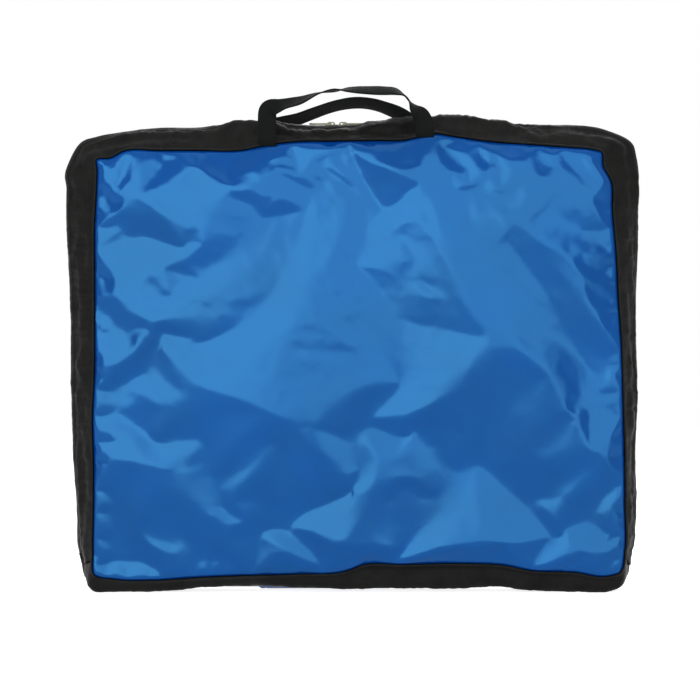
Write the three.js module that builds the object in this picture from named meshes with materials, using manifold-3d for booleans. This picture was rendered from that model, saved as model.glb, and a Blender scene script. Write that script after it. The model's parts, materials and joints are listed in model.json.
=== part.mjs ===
// Roundnet set in its zipped carry bag. Millimetres, +Z up. The bag stands on its bottom gusset at
// z = 0, its front panel faces -Y and its handles are at the top. Inside are the ring in sections,
// the legs, the folded net, the flattened balls, the pump and the rules sheet.
import * as THREE from 'three';
import Module from 'manifold-3d';
import { mergeVertices } from 'three/addons/utils/BufferGeometryUtils.js';

// ---- Driving dimensions -------------------------------------------------------------------------

const clearance = 0.3; // between pieces that touch

// Ring, taken apart into equal sections that plug into each other
const ringRadius = 434; // to the tube's centreline
const sectionCount = 5;
const ringTube = 22;
const spigotDiameter = 17.4;
const spigotLength = 30;
const socketDiameter = 18;
const socketDepth = 31;

// Legs, each a hoop whose two prongs plug into the ring from below
const legHeight = 200;
const legSpread = 120; // between the prongs' centrelines
const legTube = 18;
const legBend = 35;
const prongDiameter = 13;
const prongLength = 26;
const legFan = THREE.MathUtils.degToRad(19); // between neighbours in the rear layer

// Folded net
const netWidth = 220;
const netHeight = 84;
const netThickness = 40;
const netCorner = 18;

// Balls, let down and pushed in to bowls that nest
const ballCount = 3;
const ballRadius = 46;
const ballDepth = 26;
const ballWall = 9; // both skins of the pushed-in ball

// Pump
const pumpDiameter = 26;
const barrelLength = 150;
const barrelWall = 2;
const pumpCap = 8;
const rodDiameter = 6;
const rodClearance = 0.4;
const pistonLength = 12;
const knobDiameter = 24;
const knobLength = 16;
const knobGap = 4; // between the knob and the cap when the plunger is in
const needleDiameter = 2.4;
const needleLength = 34;
const needleFlange = 7;
const needleFlangeLength = 6;
const needleStudLength = 5;
const nozzleBore = 3;

// Rules sheet, folded
const sheetWidth = 148;
const sheetHeight = 210;
const sheetThickness = 1.6;

// Bag. Its width comes from the ring sections it holds, and its height from what stands in it.
const sideEase = 31; // beside the ring sections at the bottom
const topFlare = 10; // how much further out each side is at the top
const headroom = 60.5; // above the net
const fabric = 2; // a panel or gusset with its lining
const seamHalfDepth = 35; // from the middle of the gusset to its seam with a panel
const panelBulge = 11.5; // how far the middle of a face stands out
const panelStep = 48; // longest step along the edge of a face
const sideRevealTop = 30; // gusset seen beside the panel, from the front
const sideRevealBottom = 13;
const topReveal = 22;
const bottomReveal = 18;
const topCorner = 40;
const bottomCorner = 25;
const seamCornerTop = 16;
const seamCornerBottom = 12;
const gussetBow = 1.6; // power of the gusset's curve from its crown to the seam
const crownHalfWidth = 6; // flat middle of the gusset where the zip runs
const baseHalfWidth = 28; // flat middle of the gusset where the bag stands
const bindingWidth = 8;
const bindingThickness = 1.2;

// Zip
const zipEndHeight = 30; // where the zip stops above the floor
const tapeHalfWidth = 15;
const tapeShown = 9; // half the width that the gusset leaves open
const tapeThickness = 0.9;
const coilWidth = 2.6; // one half of the closed coil
const coilRise = 1.2; // above and below the tape
const zipSlot = 1.8; // between the coil's two halves
const sliderMeetX = -17; // where the two sliders meet
const sliderLength = 13;
const sliderWidth = 10;
const sliderPlate = 1.4;
const sliderPost = 1.2;
const sliderPostLength = 6;
const sliderPlay = 0.5; // above and below the coil
const crownBar = 3;
const crownLength = 9;
const crownWindow = 5;
const pullPin = 1.4;
const pullLength = 24;
const pullWidth = 8;
const pullThickness = 1.4;
const pullArm = 1.6;
const pullTaper = 2; // length over which the pull widens from its fork
const endTabWidth = 26;
const endTabHeight = 16;
const endTabThickness = 1.2;

// Where a face swells or dips as it goes round what the bag holds: its middle and its reach, as
// shares of the bag's half width and of its height, and how far it rises
const faceSwells = [
  { across: 0.48, up: 0.6, reachAcross: 0.42, reachUp: 0.32, rise: 5.5 }, // long ridge, right
  { across: -0.55, up: 0.82, reachAcross: 0.45, reachUp: 0.13, rise: 4.5 }, // roll below the top
  { across: -0.3, up: 0.4, reachAcross: 0.5, reachUp: 0.18, rise: 2.5 }, // belly of the left half
  { across: -0.62, up: 0.16, reachAcross: 0.36, reachUp: 0.15, rise: -4 }, // lower left hollow
];

// Handles
const handleCentreX = -15;
const handleSpan = 160; // between the middles of a handle's two ends
const handleRise = 64;
const webbingWidth = 20;
const webbingThickness = 1.8;
const rearHandleLean = THREE.MathUtils.degToRad(25); // the rear handle rests leaning back

// ---- Derived sizes ------------------------------------------------------------------------------

const tubeRadius = ringTube / 2;
const sectionHalfAngle = (Math.PI * 2 / sectionCount + spigotLength / ringRadius) / 2;
const layerPitch = ringTube + clearance;
const nestPitch = (ringTube + clearance) / Math.cos(sectionHalfAngle);
const floorInside = fabric + clearance;
const ringCentreZ = floorInside - (ringRadius - tubeRadius) * Math.cos(sectionHalfAngle);
const sectionReach = (ringRadius + tubeRadius) * Math.sin(sectionHalfAngle);

const rearLayerSections = Math.ceil(sectionCount / 2); // the others lie in the front layer
const frontLayerSections = sectionCount - rearLayerSections;
const rearTopCentreZ = ringCentreZ + (rearLayerSections - 1) * nestPitch;
const frontTopCentreZ = ringCentreZ + (frontLayerSections - 1) * nestPitch;
const prongSeat = ringRadius + tubeRadius + clearance;
const prongTip = Math.sqrt(prongSeat ** 2 - (legSpread / 2 - prongDiameter / 2) ** 2);
const legCrest = prongTip + legHeight; // from the centre of the section the leg stands on

const netBottom = rearTopCentreZ + legCrest + clearance;
const bagHeight = netBottom + netHeight + headroom;
const bottomHalfWidth = sectionReach + sideEase;
const topHalfWidth = bottomHalfWidth + topFlare;
const sheetCentreX = -bottomHalfWidth / 2;
const pumpEndX = -ringRadius / 4; // the nozzle's end of the barrel

// ---- Building closed meshes ---------------------------------------------------------------------

// Turns points and triangles into a geometry whose faces point outwards.
function closedGeometry(points, triangles) {
  let volume = 0;
  const cross = new THREE.Vector3();
  for (const [a, b, c] of triangles) {
    volume += points[a].dot(cross.crossVectors(points[b], points[c]));
  }
  const facing = volume > 0 ? triangles : triangles.map(([a, b, c]) => [a, c, b]);
  const geometry = new THREE.BufferGeometry().setFromPoints(points);
  geometry.setIndex(facing.flat());
  geometry.computeVertexNormals();
  return geometry;
}

// Skins a row of loops that all have as many points. The ends are closed by a fan from their
// middle, or by rungs between the two rails of a thin section, or they meet each other.
function loft(loops, ends = 'fan') {
  const count = loops[0].length;
  const points = loops.flat().map((p) => p.clone());
  const triangles = [];
  const quad = (a, b, c, d) => triangles.push([a, b, c], [a, c, d]);
  const rows = ends === 'ring' ? loops.length : loops.length - 1;
  for (let i = 0; i < rows; i++) {
    const row = i * count;
    const next = ((i + 1) % loops.length) * count;
    for (let j = 0; j < count; j++) {
      const k = (j + 1) % count;
      quad(row + j, row + k, next + k, next + j);
    }
  }
  const last = (loops.length - 1) * count;
  if (ends === 'fan') {
    for (const [row, order] of [[0, 1], [last, -1]]) {
      const middle = points.length;
      const centre = new THREE.Vector3();
      for (let j = 0; j < count; j++) centre.addScaledVector(points[row + j], 1 / count);
      points.push(centre);
      for (let j = 0; j < count; j++) {
        const pair = [row + (j + 1) % count, row + j];
        if (order < 0) pair.reverse();
        triangles.push([middle, ...pair]);
      }
    }
  }
  if (ends === 'rungs') {
    for (let j = 0; j < count / 2 - 1; j++) {
      const k = count - 1 - j;
      quad(k, k - 1, j + 1, j);
      quad(last + j, last + j + 1, last + k - 1, last + k);
    }
  }
  return closedGeometry(points, triangles);
}

const wasm = await Module();
wasm.setup();

function toSolid(geometry) {
  const bare = geometry.clone();
  bare.deleteAttribute('normal');
  bare.deleteAttribute('uv');
  const merged = mergeVertices(bare, 1e-4);
  return new wasm.Manifold(new wasm.Mesh({
    numProp: 3,
    vertProperties: Float32Array.from(merged.attributes.position.array),
    triVerts: Uint32Array.from(merged.index.array),
  }));
}

function join(...geometries) {
  const [first, ...rest] = geometries.map(toSolid);
  const mesh = rest.reduce((whole, piece) => whole.add(piece), first).getMesh();
  const geometry = new THREE.BufferGeometry();
  geometry.setAttribute('position', new THREE.BufferAttribute(mesh.vertProperties.slice(), 3));
  geometry.setIndex(new THREE.BufferAttribute(mesh.triVerts.slice(), 1));
  geometry.computeVertexNormals();
  return geometry;
}

function box(sizeX, sizeY, sizeZ, x = 0, y = 0, z = 0) {
  return new THREE.BoxGeometry(sizeX, sizeY, sizeZ).translate(x, y, z);
}

// A round tube along a path, from rings of [distance along the path, radius]. A ring may go back
// along the path, which makes a bore.
function roundTube(path, rings, sides) {
  return loft(rings.map(([distance, radius]) => {
    const { point, tangent } = path(distance);
    const across = new THREE.Vector3(0, 1, 0);
    const up = new THREE.Vector3().crossVectors(across, tangent);
    return Array.from({ length: sides }, (_, i) => {
      const angle = Math.PI * 2 * i / sides;
      return point.clone()
        .addScaledVector(across, Math.cos(angle) * radius)
        .addScaledVector(up, Math.sin(angle) * radius);
    });
  }));
}

const object = new THREE.Group();

function add(name, geometry, material, parent = object) {
  const mesh = new THREE.Mesh(geometry, material.clone());
  mesh.name = name;
  parent.add(mesh);
  return mesh;
}

function finish(color, roughness, metalness = 0) {
  return new THREE.MeshStandardMaterial({ color, roughness, metalness });
}

const blueNylon = finish(0x2b6bad, 0.35);
const blackNylon = finish(0x1d2422, 0.5);
const zipTape = finish(0x14181a, 0.8);
const webbing = finish(0x161a19, 0.8);
const zinc = finish(0x8e9189, 0.4, 0.9);
const ringPlastic = finish(0x1a1b1d, 0.45);
const legPlastic = finish(0xe2b714, 0.4);
const netCord = finish(0x202225, 0.85);
const ballRubber = finish(0xf0c419, 0.5);
const pumpPlastic = finish(0x2a5fa8, 0.35);
const pumpTrim = finish(0x22252a, 0.5);
const needleSteel = finish(0xb9bcc0, 0.3, 1);
const paper = finish(0xeeeeea, 0.9);

// ---- Bag outlines -------------------------------------------------------------------------------

// Half of an outline: the left side, from the bottom's end round the bottom corner, up the side and
// round the top corner, as points with the direction that points out of the bag.
function leftHalf({ bottomHalf, topHalf, bottom, top, bottomRadius, topRadius }) {
  const stations = [];
  const arc = (centreX, centreZ, radius, from, to, steps, part) => {
    for (let i = 0; i <= steps; i++) {
      const angle = THREE.MathUtils.degToRad(from + (to - from) * i / steps);
      const out = new THREE.Vector3(Math.cos(angle), 0, Math.sin(angle));
      const point = new THREE.Vector3(centreX, 0, centreZ).addScaledVector(out, radius);
      stations.push({ point, out, part, turn: i / steps });
    }
  };
  arc(-bottomHalf + bottomRadius, bottom + bottomRadius, bottomRadius, 270, 180, 5, 'bottomCorner');
  const sideStart = stations.at(-1).point;
  const sideEnd = new THREE.Vector3(-topHalf, 0, top - topRadius);
  for (const share of [belowZipShare, zipEndShare, 0.35, 0.7]) {
    const point = sideStart.clone().lerp(sideEnd, share);
    const part = share === belowZipShare ? 'belowZip' : 'side';
    stations.push({ point, out: new THREE.Vector3(-1, 0, 0), part, turn: 1 });
  }
  arc(-topHalf + topRadius, top - topRadius, topRadius, 180, 90, 6, 'topCorner');
  return stations;
}

// The shares of the side, above the bottom corner, where the zip ends and the bottom gusset starts
const sideHeight = bagHeight - bottomCorner - topCorner;
const zipEndShare = (zipEndHeight - bottomCorner) / sideHeight;
const belowZipShare = (zipEndHeight - clearance - bottomCorner) / sideHeight;

const crownLeft = leftHalf({
  bottomHalf: bottomHalfWidth,
  topHalf: topHalfWidth,
  bottom: 0,
  top: bagHeight,
  bottomRadius: bottomCorner,
  topRadius: topCorner,
});
const seamLeft = leftHalf({
  bottomHalf: bottomHalfWidth - sideRevealBottom,
  topHalf: topHalfWidth - sideRevealTop,
  bottom: bottomReveal,
  top: bagHeight - topReveal,
  bottomRadius: seamCornerBottom,
  topRadius: seamCornerTop,
});

// Each station of the gusset has its crown point, its seam point and the width of its flat middle.
const leftStations = crownLeft.map(({ point, out, part, turn }, i) => ({
  crown: point,
  seam: seamLeft[i].point,
  out,
  flat: part === 'bottomCorner' ? THREE.MathUtils.lerp(baseHalfWidth, crownHalfWidth, turn)
    : crownHalfWidth,
}));
const zipEndIndex = crownLeft.findIndex(({ part }) => part === 'side');

function mirrored({ crown, seam, out, flat }) {
  const flip = (v) => new THREE.Vector3(-v.x, v.y, v.z);
  return { crown: flip(crown), seam: flip(seam), out: flip(out), flat };
}

const upperLeft = leftStations.slice(zipEndIndex);
const lowerLeft = leftStations.slice(0, zipEndIndex);
const upperRun = [...upperLeft, ...upperLeft.map(mirrored).reverse()];
const lowerRun = [...lowerLeft.map(mirrored).reverse(), ...lowerLeft];
const wholeRun = [...leftStations, ...leftStations.map(mirrored).reverse()];

// A point of the gusset at a station, at depth y, moved outwards by lift.
function gussetPoint({ crown, seam, out, flat }, y, lift) {
  const share = Math.max(0, (Math.abs(y) - flat) / (seamHalfDepth - flat)) ** gussetBow;
  const point = crown.clone().lerp(seam, share).addScaledVector(out, lift);
  point.y = y;
  return point;
}

// A band of the gusset along a run of stations. Its section is a row of [y, lift outside, lift
// inside].
function gussetBand(run, section, ends = 'rungs') {
  return loft(run.map((station) => [
    ...section.map(([y, outside]) => gussetPoint(station, y, outside)),
    ...section.map(([y, , inside]) => gussetPoint(station, y, inside)).reverse(),
  ]), ends);
}

// ---- Bag ----------------------------------------------------------------------------------------

const frontSide = -1;
const rearSide = 1;

// How far a face stands out at a point, at a share of the way from its middle to its seam.
function faceRise({ x, z }, share) {
  const swells = faceSwells.map(({ across, up, reachAcross, reachUp, rise }) => {
    const away = Math.hypot(
      (x / bottomHalfWidth - across) / reachAcross,
      (z / bagHeight - up) / reachUp,
    );
    return rise * Math.max(0, 1 - away ** 2) ** 2;
  });
  return swells.reduce((sum, rise) => sum + rise, panelBulge) * (1 - share ** 3);
}

function panel(side) {
  const rim = seamHalfDepth + clearance;
  const middle = new THREE.Vector3(0, 0, bagHeight / 2);
  const outline = wholeRun.flatMap(({ seam }, i) => {
    const next = wholeRun[(i + 1) % wholeRun.length].seam;
    const steps = Math.ceil(seam.distanceTo(next) / panelStep);
    return Array.from({ length: steps }, (_, k) => seam.clone().lerp(next, k / steps));
  });
  const ring = (share, depth) => outline.map((edge) => {
    const point = middle.clone().lerp(edge, share);
    point.y = side * (depth + faceRise(point, share));
    return point;
  });
  const shares = [0.14, 0.3, 0.45, 0.6, 0.72, 0.82, 0.91, 1];
  return loft([
    ...shares.map((share) => ring(share, rim + fabric)),
    ...shares.toReversed().map((share) => ring(share, rim)),
  ]);
}

// The depths at which the gusset is faceted, from its seam to the edge beside the zip
const gussetDepths = [
  seamHalfDepth,
  ...[0, 1 / 3, 2 / 3, 1].map((share) => THREE.MathUtils.lerp(baseHalfWidth, tapeShown, share)),
];

function gussetStrip(side) {
  return gussetBand(upperRun, gussetDepths.map((depth) => [side * depth, 0, -fabric]));
}

function zipHalf(side) {
  const below = -fabric - clearance; // the tape is sewn under the gusset's edge
  const coilEdge = zipSlot / 2;
  const coilRoot = coilEdge + coilWidth;
  return gussetBand(upperRun, [
    [side * tapeHalfWidth, below, below - tapeThickness],
    [side * (coilRoot + 0.5), below, below - tapeThickness],
    [side * coilRoot, below + coilRise, below - tapeThickness - coilRise],
    [side * coilEdge, below + coilRise, below - tapeThickness - coilRise],
  ]);
}

function bottomGusset() {
  const depths = [...gussetDepths.map((depth) => -depth), ...gussetDepths.toReversed()];
  return gussetBand(lowerRun, depths.map((y) => [y, 0, -fabric]));
}

function binding(side) {
  const outer = -fabric - clearance;
  const near = seamHalfDepth;
  const far = near - bindingThickness;
  return loft(wholeRun.map(({ seam, out }) => [
    [near, outer], [near, outer - bindingWidth], [far, outer - bindingWidth], [far, outer],
  ].map(([depth, lift]) => {
    const point = seam.clone().addScaledVector(out, lift);
    point.y = side * depth;
    return point;
  })), 'ring');
}

function endTab(side) {
  const top = zipEndHeight + endTabHeight / 2;
  const wall = bottomHalfWidth + topFlare * (top - bottomCorner) / sideHeight + clearance;
  return box(endTabThickness, endTabWidth, endTabHeight,
    side * (wall + endTabThickness / 2), 0, zipEndHeight);
}

add('front_panel', panel(frontSide), blueNylon);
add('back_panel', panel(rearSide), blackNylon);
add('front_gusset', gussetStrip(frontSide), blackNylon);
add('rear_gusset', gussetStrip(rearSide), blackNylon);
add('bottom_gusset', bottomGusset(), blackNylon);
add('front_zip_half', zipHalf(frontSide), zipTape);
add('rear_zip_half', zipHalf(rearSide), zipTape);
add('front_seam_binding', binding(frontSide), blackNylon);
add('rear_seam_binding', binding(rearSide), blackNylon);
add('zip_end_tab_left', endTab(-1), blackNylon);
add('zip_end_tab_right', endTab(1), blackNylon);

// ---- Zip sliders and pulls ----------------------------------------------------------------------

const coilTop = bagHeight - fabric - clearance + coilRise;
const coilBottom = bagHeight - fabric - clearance - tapeThickness - coilRise;
const plateUnderside = coilTop + sliderPlay;
const plateTop = plateUnderside + sliderPlate;
const lowerPlateTop = coilBottom - sliderPlay;
const windowHeight = pullPin + 2 * clearance;
const crownThickness = 1.2;
const pinZ = plateTop + windowHeight / 2;

// The bridge that keeps the pull on, an arch along the slider.
function crownArch() {
  const shape = new THREE.Shape();
  const half = crownLength / 2;
  const inner = crownWindow / 2;
  const top = windowHeight + crownThickness;
  const foot = -sliderPlate / 2; // sunk in the plate so that the two are one solid
  shape.moveTo(-half, foot).lineTo(-half, top - crownThickness).lineTo(-inner, top);
  shape.lineTo(inner, top).lineTo(half, top - crownThickness).lineTo(half, foot);
  shape.lineTo(inner, foot).lineTo(inner, windowHeight);
  shape.lineTo(-inner, windowHeight).lineTo(-inner, foot).closePath();
  return new THREE.ExtrudeGeometry(shape, { depth: crownBar, bevelEnabled: false })
    .translate(0, 0, -crownBar / 2)
    .rotateX(Math.PI / 2)
    .translate(0, 0, plateTop);
}

function slider() {
  const postHeight = plateTop - lowerPlateTop;
  return join(
    box(sliderLength, sliderWidth, sliderPlate, 0, 0, plateTop - sliderPlate / 2),
    box(sliderLength, sliderWidth, sliderPlate, 0, 0, lowerPlateTop - sliderPlate / 2),
    box(sliderPostLength, sliderPost, postHeight, 0, 0, lowerPlateTop + postHeight / 2),
    crownArch(),
  );
}

// The pull lies flat, away from the other slider. Its pin goes through the bridge.
function pull() {
  const armInside = crownBar / 2 + clearance;
  const armOutside = armInside + pullArm;
  const forkEnd = crownLength / 2 + clearance;
  const shoulder = forkEnd + pullArm;
  const half = pullWidth / 2;
  const shape = new THREE.Shape();
  shape.moveTo(0, armInside).lineTo(forkEnd, armInside).lineTo(forkEnd, -armInside);
  shape.lineTo(0, -armInside).lineTo(0, -armOutside).lineTo(shoulder, -armOutside);
  shape.lineTo(shoulder + pullTaper, -half).lineTo(pullLength - half, -half);
  shape.absarc(pullLength - half, 0, half, -Math.PI / 2, Math.PI / 2, false);
  shape.lineTo(shoulder + pullTaper, half).lineTo(shoulder, armOutside).lineTo(0, armOutside).closePath();
  const plate = new THREE.ExtrudeGeometry(shape, {
    depth: pullThickness, bevelEnabled: false, curveSegments: 8,
  }).translate(0, 0, -pullThickness / 2);
  const pin = new THREE.CylinderGeometry(pullPin / 2, pullPin / 2, 2 * armOutside, 12);
  return join(plate, pin);
}

for (const [name, side] of [['left', -1], ['right', 1]]) {
  const x = sliderMeetX + side * (sliderLength / 2 + clearance / 2);
  add(`zip_slider_${name}`, slider(), zinc).position.x = x;
  const hanging = add(`zip_pull_${name}`, pull(), zinc);
  hanging.position.set(x, 0, pinZ);
  hanging.rotation.z = side < 0 ? Math.PI : 0;
}

// ---- Handles ------------------------------------------------------------------------------------

// A strap that leaves the seam flat against the bag and turns edge-on over the top of its arch.
function handleStrap() {
  const steps = 22;
  const arch = (share) => {
    const angle = Math.PI * (1 - share);
    const square = (value) => Math.sign(value) * Math.abs(value) ** 0.8;
    return new THREE.Vector3(
      square(Math.cos(angle)) * handleSpan / 2,
      0,
      square(Math.sin(angle)) * handleRise,
    );
  };
  const across = new THREE.Vector3(0, 1, 0);
  const loops = [];
  for (let i = 0; i <= steps; i++) {
    const share = i / steps;
    const point = arch(share);
    const tangent = arch(Math.min(1, share + 0.01)).sub(arch(Math.max(0, share - 0.01)));
    if (i === 0 || i === steps) tangent.set(0, 0, i === 0 ? 1 : -1);
    tangent.normalize();
    const outwards = new THREE.Vector3().crossVectors(tangent, across);
    const turn = THREE.MathUtils.smoothstep(point.z / handleRise, 0.12, 0.75) * Math.PI / 2;
    const width = outwards.multiplyScalar(Math.cos(turn)).addScaledVector(across, Math.sin(turn));
    const thick = new THREE.Vector3().crossVectors(tangent, width);
    loops.push([[1, 1], [1, -1], [-1, -1], [-1, 1]].map(([w, t]) => point.clone()
      .addScaledVector(width, w * webbingWidth / 2)
      .addScaledVector(thick, t * webbingThickness / 2)));
  }
  return loft(loops);
}

const handleRootDepth = seamHalfDepth + clearance + fabric + clearance + webbingThickness / 2;
const handleRootHeight = bagHeight - topReveal; // level with the seam it is caught in

for (const [name, side, lean] of [['front', -1, 0], ['rear', 1, rearHandleLean]]) {
  const strap = add(`${name}_handle`, handleStrap(), webbing);
  strap.position.set(handleCentreX, side * handleRootDepth, handleRootHeight);
  strap.rotation.x = -side * lean;
}

// ---- Ring sections ------------------------------------------------------------------------------

function ringSection(depth, centreZ) {
  const length = 2 * sectionHalfAngle * ringRadius;
  const tubeEnd = length - spigotLength;
  const path = (distance) => {
    const angle = distance / ringRadius - sectionHalfAngle;
    const [sin, cos] = [Math.sin(angle), Math.cos(angle)];
    return {
      point: new THREE.Vector3(ringRadius * sin, depth, centreZ + ringRadius * cos),
      tangent: new THREE.Vector3(cos, 0, -sin),
    };
  };
  const steps = 12;
  const tube = Array.from({ length: steps + 1 }, (_, i) => [tubeEnd * i / steps, tubeRadius]);
  return roundTube(path, [
    [socketDepth, socketDiameter / 2],
    [0, socketDiameter / 2],
    ...tube,
    [tubeEnd, spigotDiameter / 2],
    [length, spigotDiameter / 2],
  ], 12);
}

for (let i = 0; i < sectionCount; i++) {
  const inRear = i < rearLayerSections;
  const depth = (inRear ? 1 : -1) * layerPitch / 2;
  const place = inRear ? i : i - rearLayerSections;
  const section = ringSection(depth, ringCentreZ + place * nestPitch);
  add(`ring_section_${i + 1}`, section, ringPlastic);
}

// ---- Legs ---------------------------------------------------------------------------------------

function leg() {
  const half = legSpread / 2;
  const barZ = legCrest - legTube / 2;
  const hoop = new THREE.Path();
  hoop.moveTo(-half, prongTip).lineTo(-half, barZ - legBend);
  hoop.absarc(-half + legBend, barZ - legBend, legBend, Math.PI, Math.PI / 2, true);
  hoop.lineTo(half - legBend, barZ);
  hoop.absarc(half - legBend, barZ - legBend, legBend, Math.PI / 2, 0, true);
  hoop.lineTo(half, prongTip);
  const length = hoop.getLength();
  const path = (distance) => {
    const point = hoop.getPoint(distance / length);
    const tangent = hoop.getTangent(distance / length);
    return {
      point: new THREE.Vector3(point.x, 0, point.y),
      tangent: new THREE.Vector3(tangent.x, 0, tangent.y),
    };
  };
  const bendStart = barZ - legBend - prongTip;
  const bendLength = legBend * Math.PI / 2;
  const steps = 5;
  const bend = Array.from({ length: steps + 1 }, (_, i) => bendStart + bendLength * i / steps);
  const firstHalf = [
    [0, prongDiameter / 2],
    [prongLength, prongDiameter / 2],
    [prongLength, legTube / 2],
    ...bend.map((distance) => [distance, legTube / 2]),
  ];
  const secondHalf = firstHalf.map(([distance, radius]) => [length - distance, radius]).reverse();
  return roundTube(path, [...firstHalf, ...secondHalf], 10);
}

const legPlaces = [
  { depth: layerPitch / 2, centreZ: rearTopCentreZ, angle: 0 },
  { depth: layerPitch / 2, centreZ: rearTopCentreZ, angle: -legFan },
  { depth: layerPitch / 2, centreZ: rearTopCentreZ, angle: legFan },
  { depth: -layerPitch / 2, centreZ: frontTopCentreZ, angle: -legFan / 2 },
  { depth: -layerPitch / 2, centreZ: frontTopCentreZ, angle: legFan / 2 },
];
legPlaces.forEach(({ depth, centreZ, angle }, i) => {
  const hoop = add(`leg_${i + 1}`, leg(), legPlastic);
  hoop.position.set(0, depth, centreZ);
  hoop.rotation.y = angle;
});

// ---- Net, balls, pump and rules sheet -----------------------------------------------------------

function foldedNet() {
  const bevel = netThickness / 4;
  const halfWidth = netWidth / 2 - bevel;
  const height = netHeight - 2 * bevel;
  const corner = netCorner - bevel;
  const shape = new THREE.Shape();
  shape.moveTo(-halfWidth + corner, 0).lineTo(halfWidth - corner, 0);
  shape.absarc(halfWidth - corner, corner, corner, -Math.PI / 2, 0, false);
  shape.absarc(halfWidth - corner, height - corner, corner, 0, Math.PI / 2, false);
  shape.absarc(-halfWidth + corner, height - corner, corner, Math.PI / 2, Math.PI, false);
  shape.absarc(-halfWidth + corner, corner, corner, Math.PI, Math.PI * 1.5, false);
  return new THREE.ExtrudeGeometry(shape, {
    depth: netThickness - 2 * bevel,
    bevelThickness: bevel,
    bevelSize: bevel,
    bevelSegments: 3,
    curveSegments: 4,
  }).translate(0, bevel, -netThickness / 2 + bevel).rotateX(Math.PI / 2);
}

add('folded_net', foldedNet(), netCord).position.z = netBottom;

function flatBall() {
  const steps = 5;
  const outside = Array.from({ length: steps + 1 }, (_, i) => {
    const radius = ballRadius * i / steps;
    return new THREE.Vector2(radius, ballDepth * (radius / ballRadius) ** 2.2);
  });
  const inside = outside.map(({ x, y }) => new THREE.Vector2(x, y + ballWall)).reverse();
  return new THREE.LatheGeometry([...outside, ...inside], 20);
}

const ballPitch = ballWall + clearance;
const ballRow = ballDepth + ballWall + (ballCount - 1) * ballPitch;
for (let i = 0; i < ballCount; i++) {
  const reach = legCrest + clearance + ballRadius;
  add(`ball_${i + 1}`, flatBall(), ballRubber).position.set(
    reach * Math.sin(legFan),
    -ballRow / 2 + i * ballPitch,
    rearTopCentreZ + reach * Math.cos(legFan),
  );
}

// A turned piece along X, from its [distance, radius] outline.
function turned(outline) {
  const points = outline.map(([distance, radius]) => new THREE.Vector2(radius, distance));
  return new THREE.LatheGeometry(points, 20).rotateZ(-Math.PI / 2);
}

const pumpRadius = pumpDiameter / 2;
const barrelBore = pumpRadius - barrelWall;
const pump = new THREE.Group();
pump.position.set(pumpEndX, 0, floorInside + pumpRadius);
object.add(pump);

add('pump_barrel', turned([
  [0, nozzleBore / 2],
  [0, pumpRadius * 0.55],
  [pumpCap, pumpRadius],
  [barrelLength, pumpRadius],
  [barrelLength, rodDiameter / 2 + rodClearance],
  [barrelLength - pumpCap, rodDiameter / 2 + rodClearance],
  [barrelLength - pumpCap, barrelBore],
  [pumpCap, barrelBore],
  [pumpCap, nozzleBore / 2],
  [0, nozzleBore / 2],
]), pumpPlastic, pump);

const pistonStart = pumpCap + clearance;
const knobStart = barrelLength + knobGap;
add('pump_plunger', turned([
  [pistonStart, 0],
  [pistonStart, barrelBore - rodClearance],
  [pistonStart + pistonLength, barrelBore - rodClearance],
  [pistonStart + pistonLength, rodDiameter / 2],
  [knobStart, rodDiameter / 2],
  [knobStart, knobDiameter / 2],
  [knobStart + knobLength, knobDiameter / 2],
  [knobStart + knobLength, 0],
]), pumpTrim, pump);

const flangeStart = -clearance - needleFlangeLength;
add('pump_needle', turned([
  [flangeStart - needleLength, 0],
  [flangeStart - needleLength, needleDiameter / 2],
  [flangeStart, needleDiameter / 2],
  [flangeStart, needleFlange / 2],
  [-clearance, needleFlange / 2],
  [-clearance, nozzleBore / 2 - clearance],
  [needleStudLength, nozzleBore / 2 - clearance],
  [needleStudLength, 0],
]), needleSteel, pump);

const sheetDepth = layerPitch / 2 + tubeRadius + clearance + sheetThickness / 2;
add('rules_sheet', box(sheetWidth, sheetThickness, sheetHeight), paper)
  .position.set(sheetCentreX, sheetDepth, floorInside + sheetHeight / 2);

export default object;
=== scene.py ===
import json
import math

import bmesh
import bpy
import numpy as np
from bpy.props import FloatProperty, FloatVectorProperty, PointerProperty
from mathutils import Matrix, Vector, noise


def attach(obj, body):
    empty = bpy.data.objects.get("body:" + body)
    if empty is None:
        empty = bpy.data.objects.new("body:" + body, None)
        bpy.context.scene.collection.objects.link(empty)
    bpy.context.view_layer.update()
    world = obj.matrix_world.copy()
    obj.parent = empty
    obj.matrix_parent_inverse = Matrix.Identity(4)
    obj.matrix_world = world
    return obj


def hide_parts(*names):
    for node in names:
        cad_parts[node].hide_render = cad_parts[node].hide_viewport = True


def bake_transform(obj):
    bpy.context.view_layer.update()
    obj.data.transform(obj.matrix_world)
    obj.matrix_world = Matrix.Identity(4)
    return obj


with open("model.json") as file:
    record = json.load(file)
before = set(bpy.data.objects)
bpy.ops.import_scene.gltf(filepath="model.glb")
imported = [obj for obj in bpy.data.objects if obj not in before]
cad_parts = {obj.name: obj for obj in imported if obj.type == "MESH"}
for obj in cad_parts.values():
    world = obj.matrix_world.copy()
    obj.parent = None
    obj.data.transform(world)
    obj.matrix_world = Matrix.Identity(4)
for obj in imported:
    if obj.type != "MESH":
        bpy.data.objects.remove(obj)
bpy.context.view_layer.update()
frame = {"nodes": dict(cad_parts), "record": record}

bl_info = {
    "name": "Roundnet Set in Its Bag",
    "version": (1, 0, 0),
    "blender": (4, 5, 0),
    "location": "3D View > Sidebar > Roundnet",
    "description": "Dresses the packed roundnet set: its zipped bag and what the bag holds",
    "category": "Object",
}

MM = 0.001
FRONT, REAR = -1, 1
MERGE_DISTANCE = 1e-6  # in metres: points nearer than this are one


def clamped(value, low=0.0, high=1.0):
    return min(high, max(low, value))


# ---- The bag's edge -----------------------------------------------------------------------------

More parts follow.
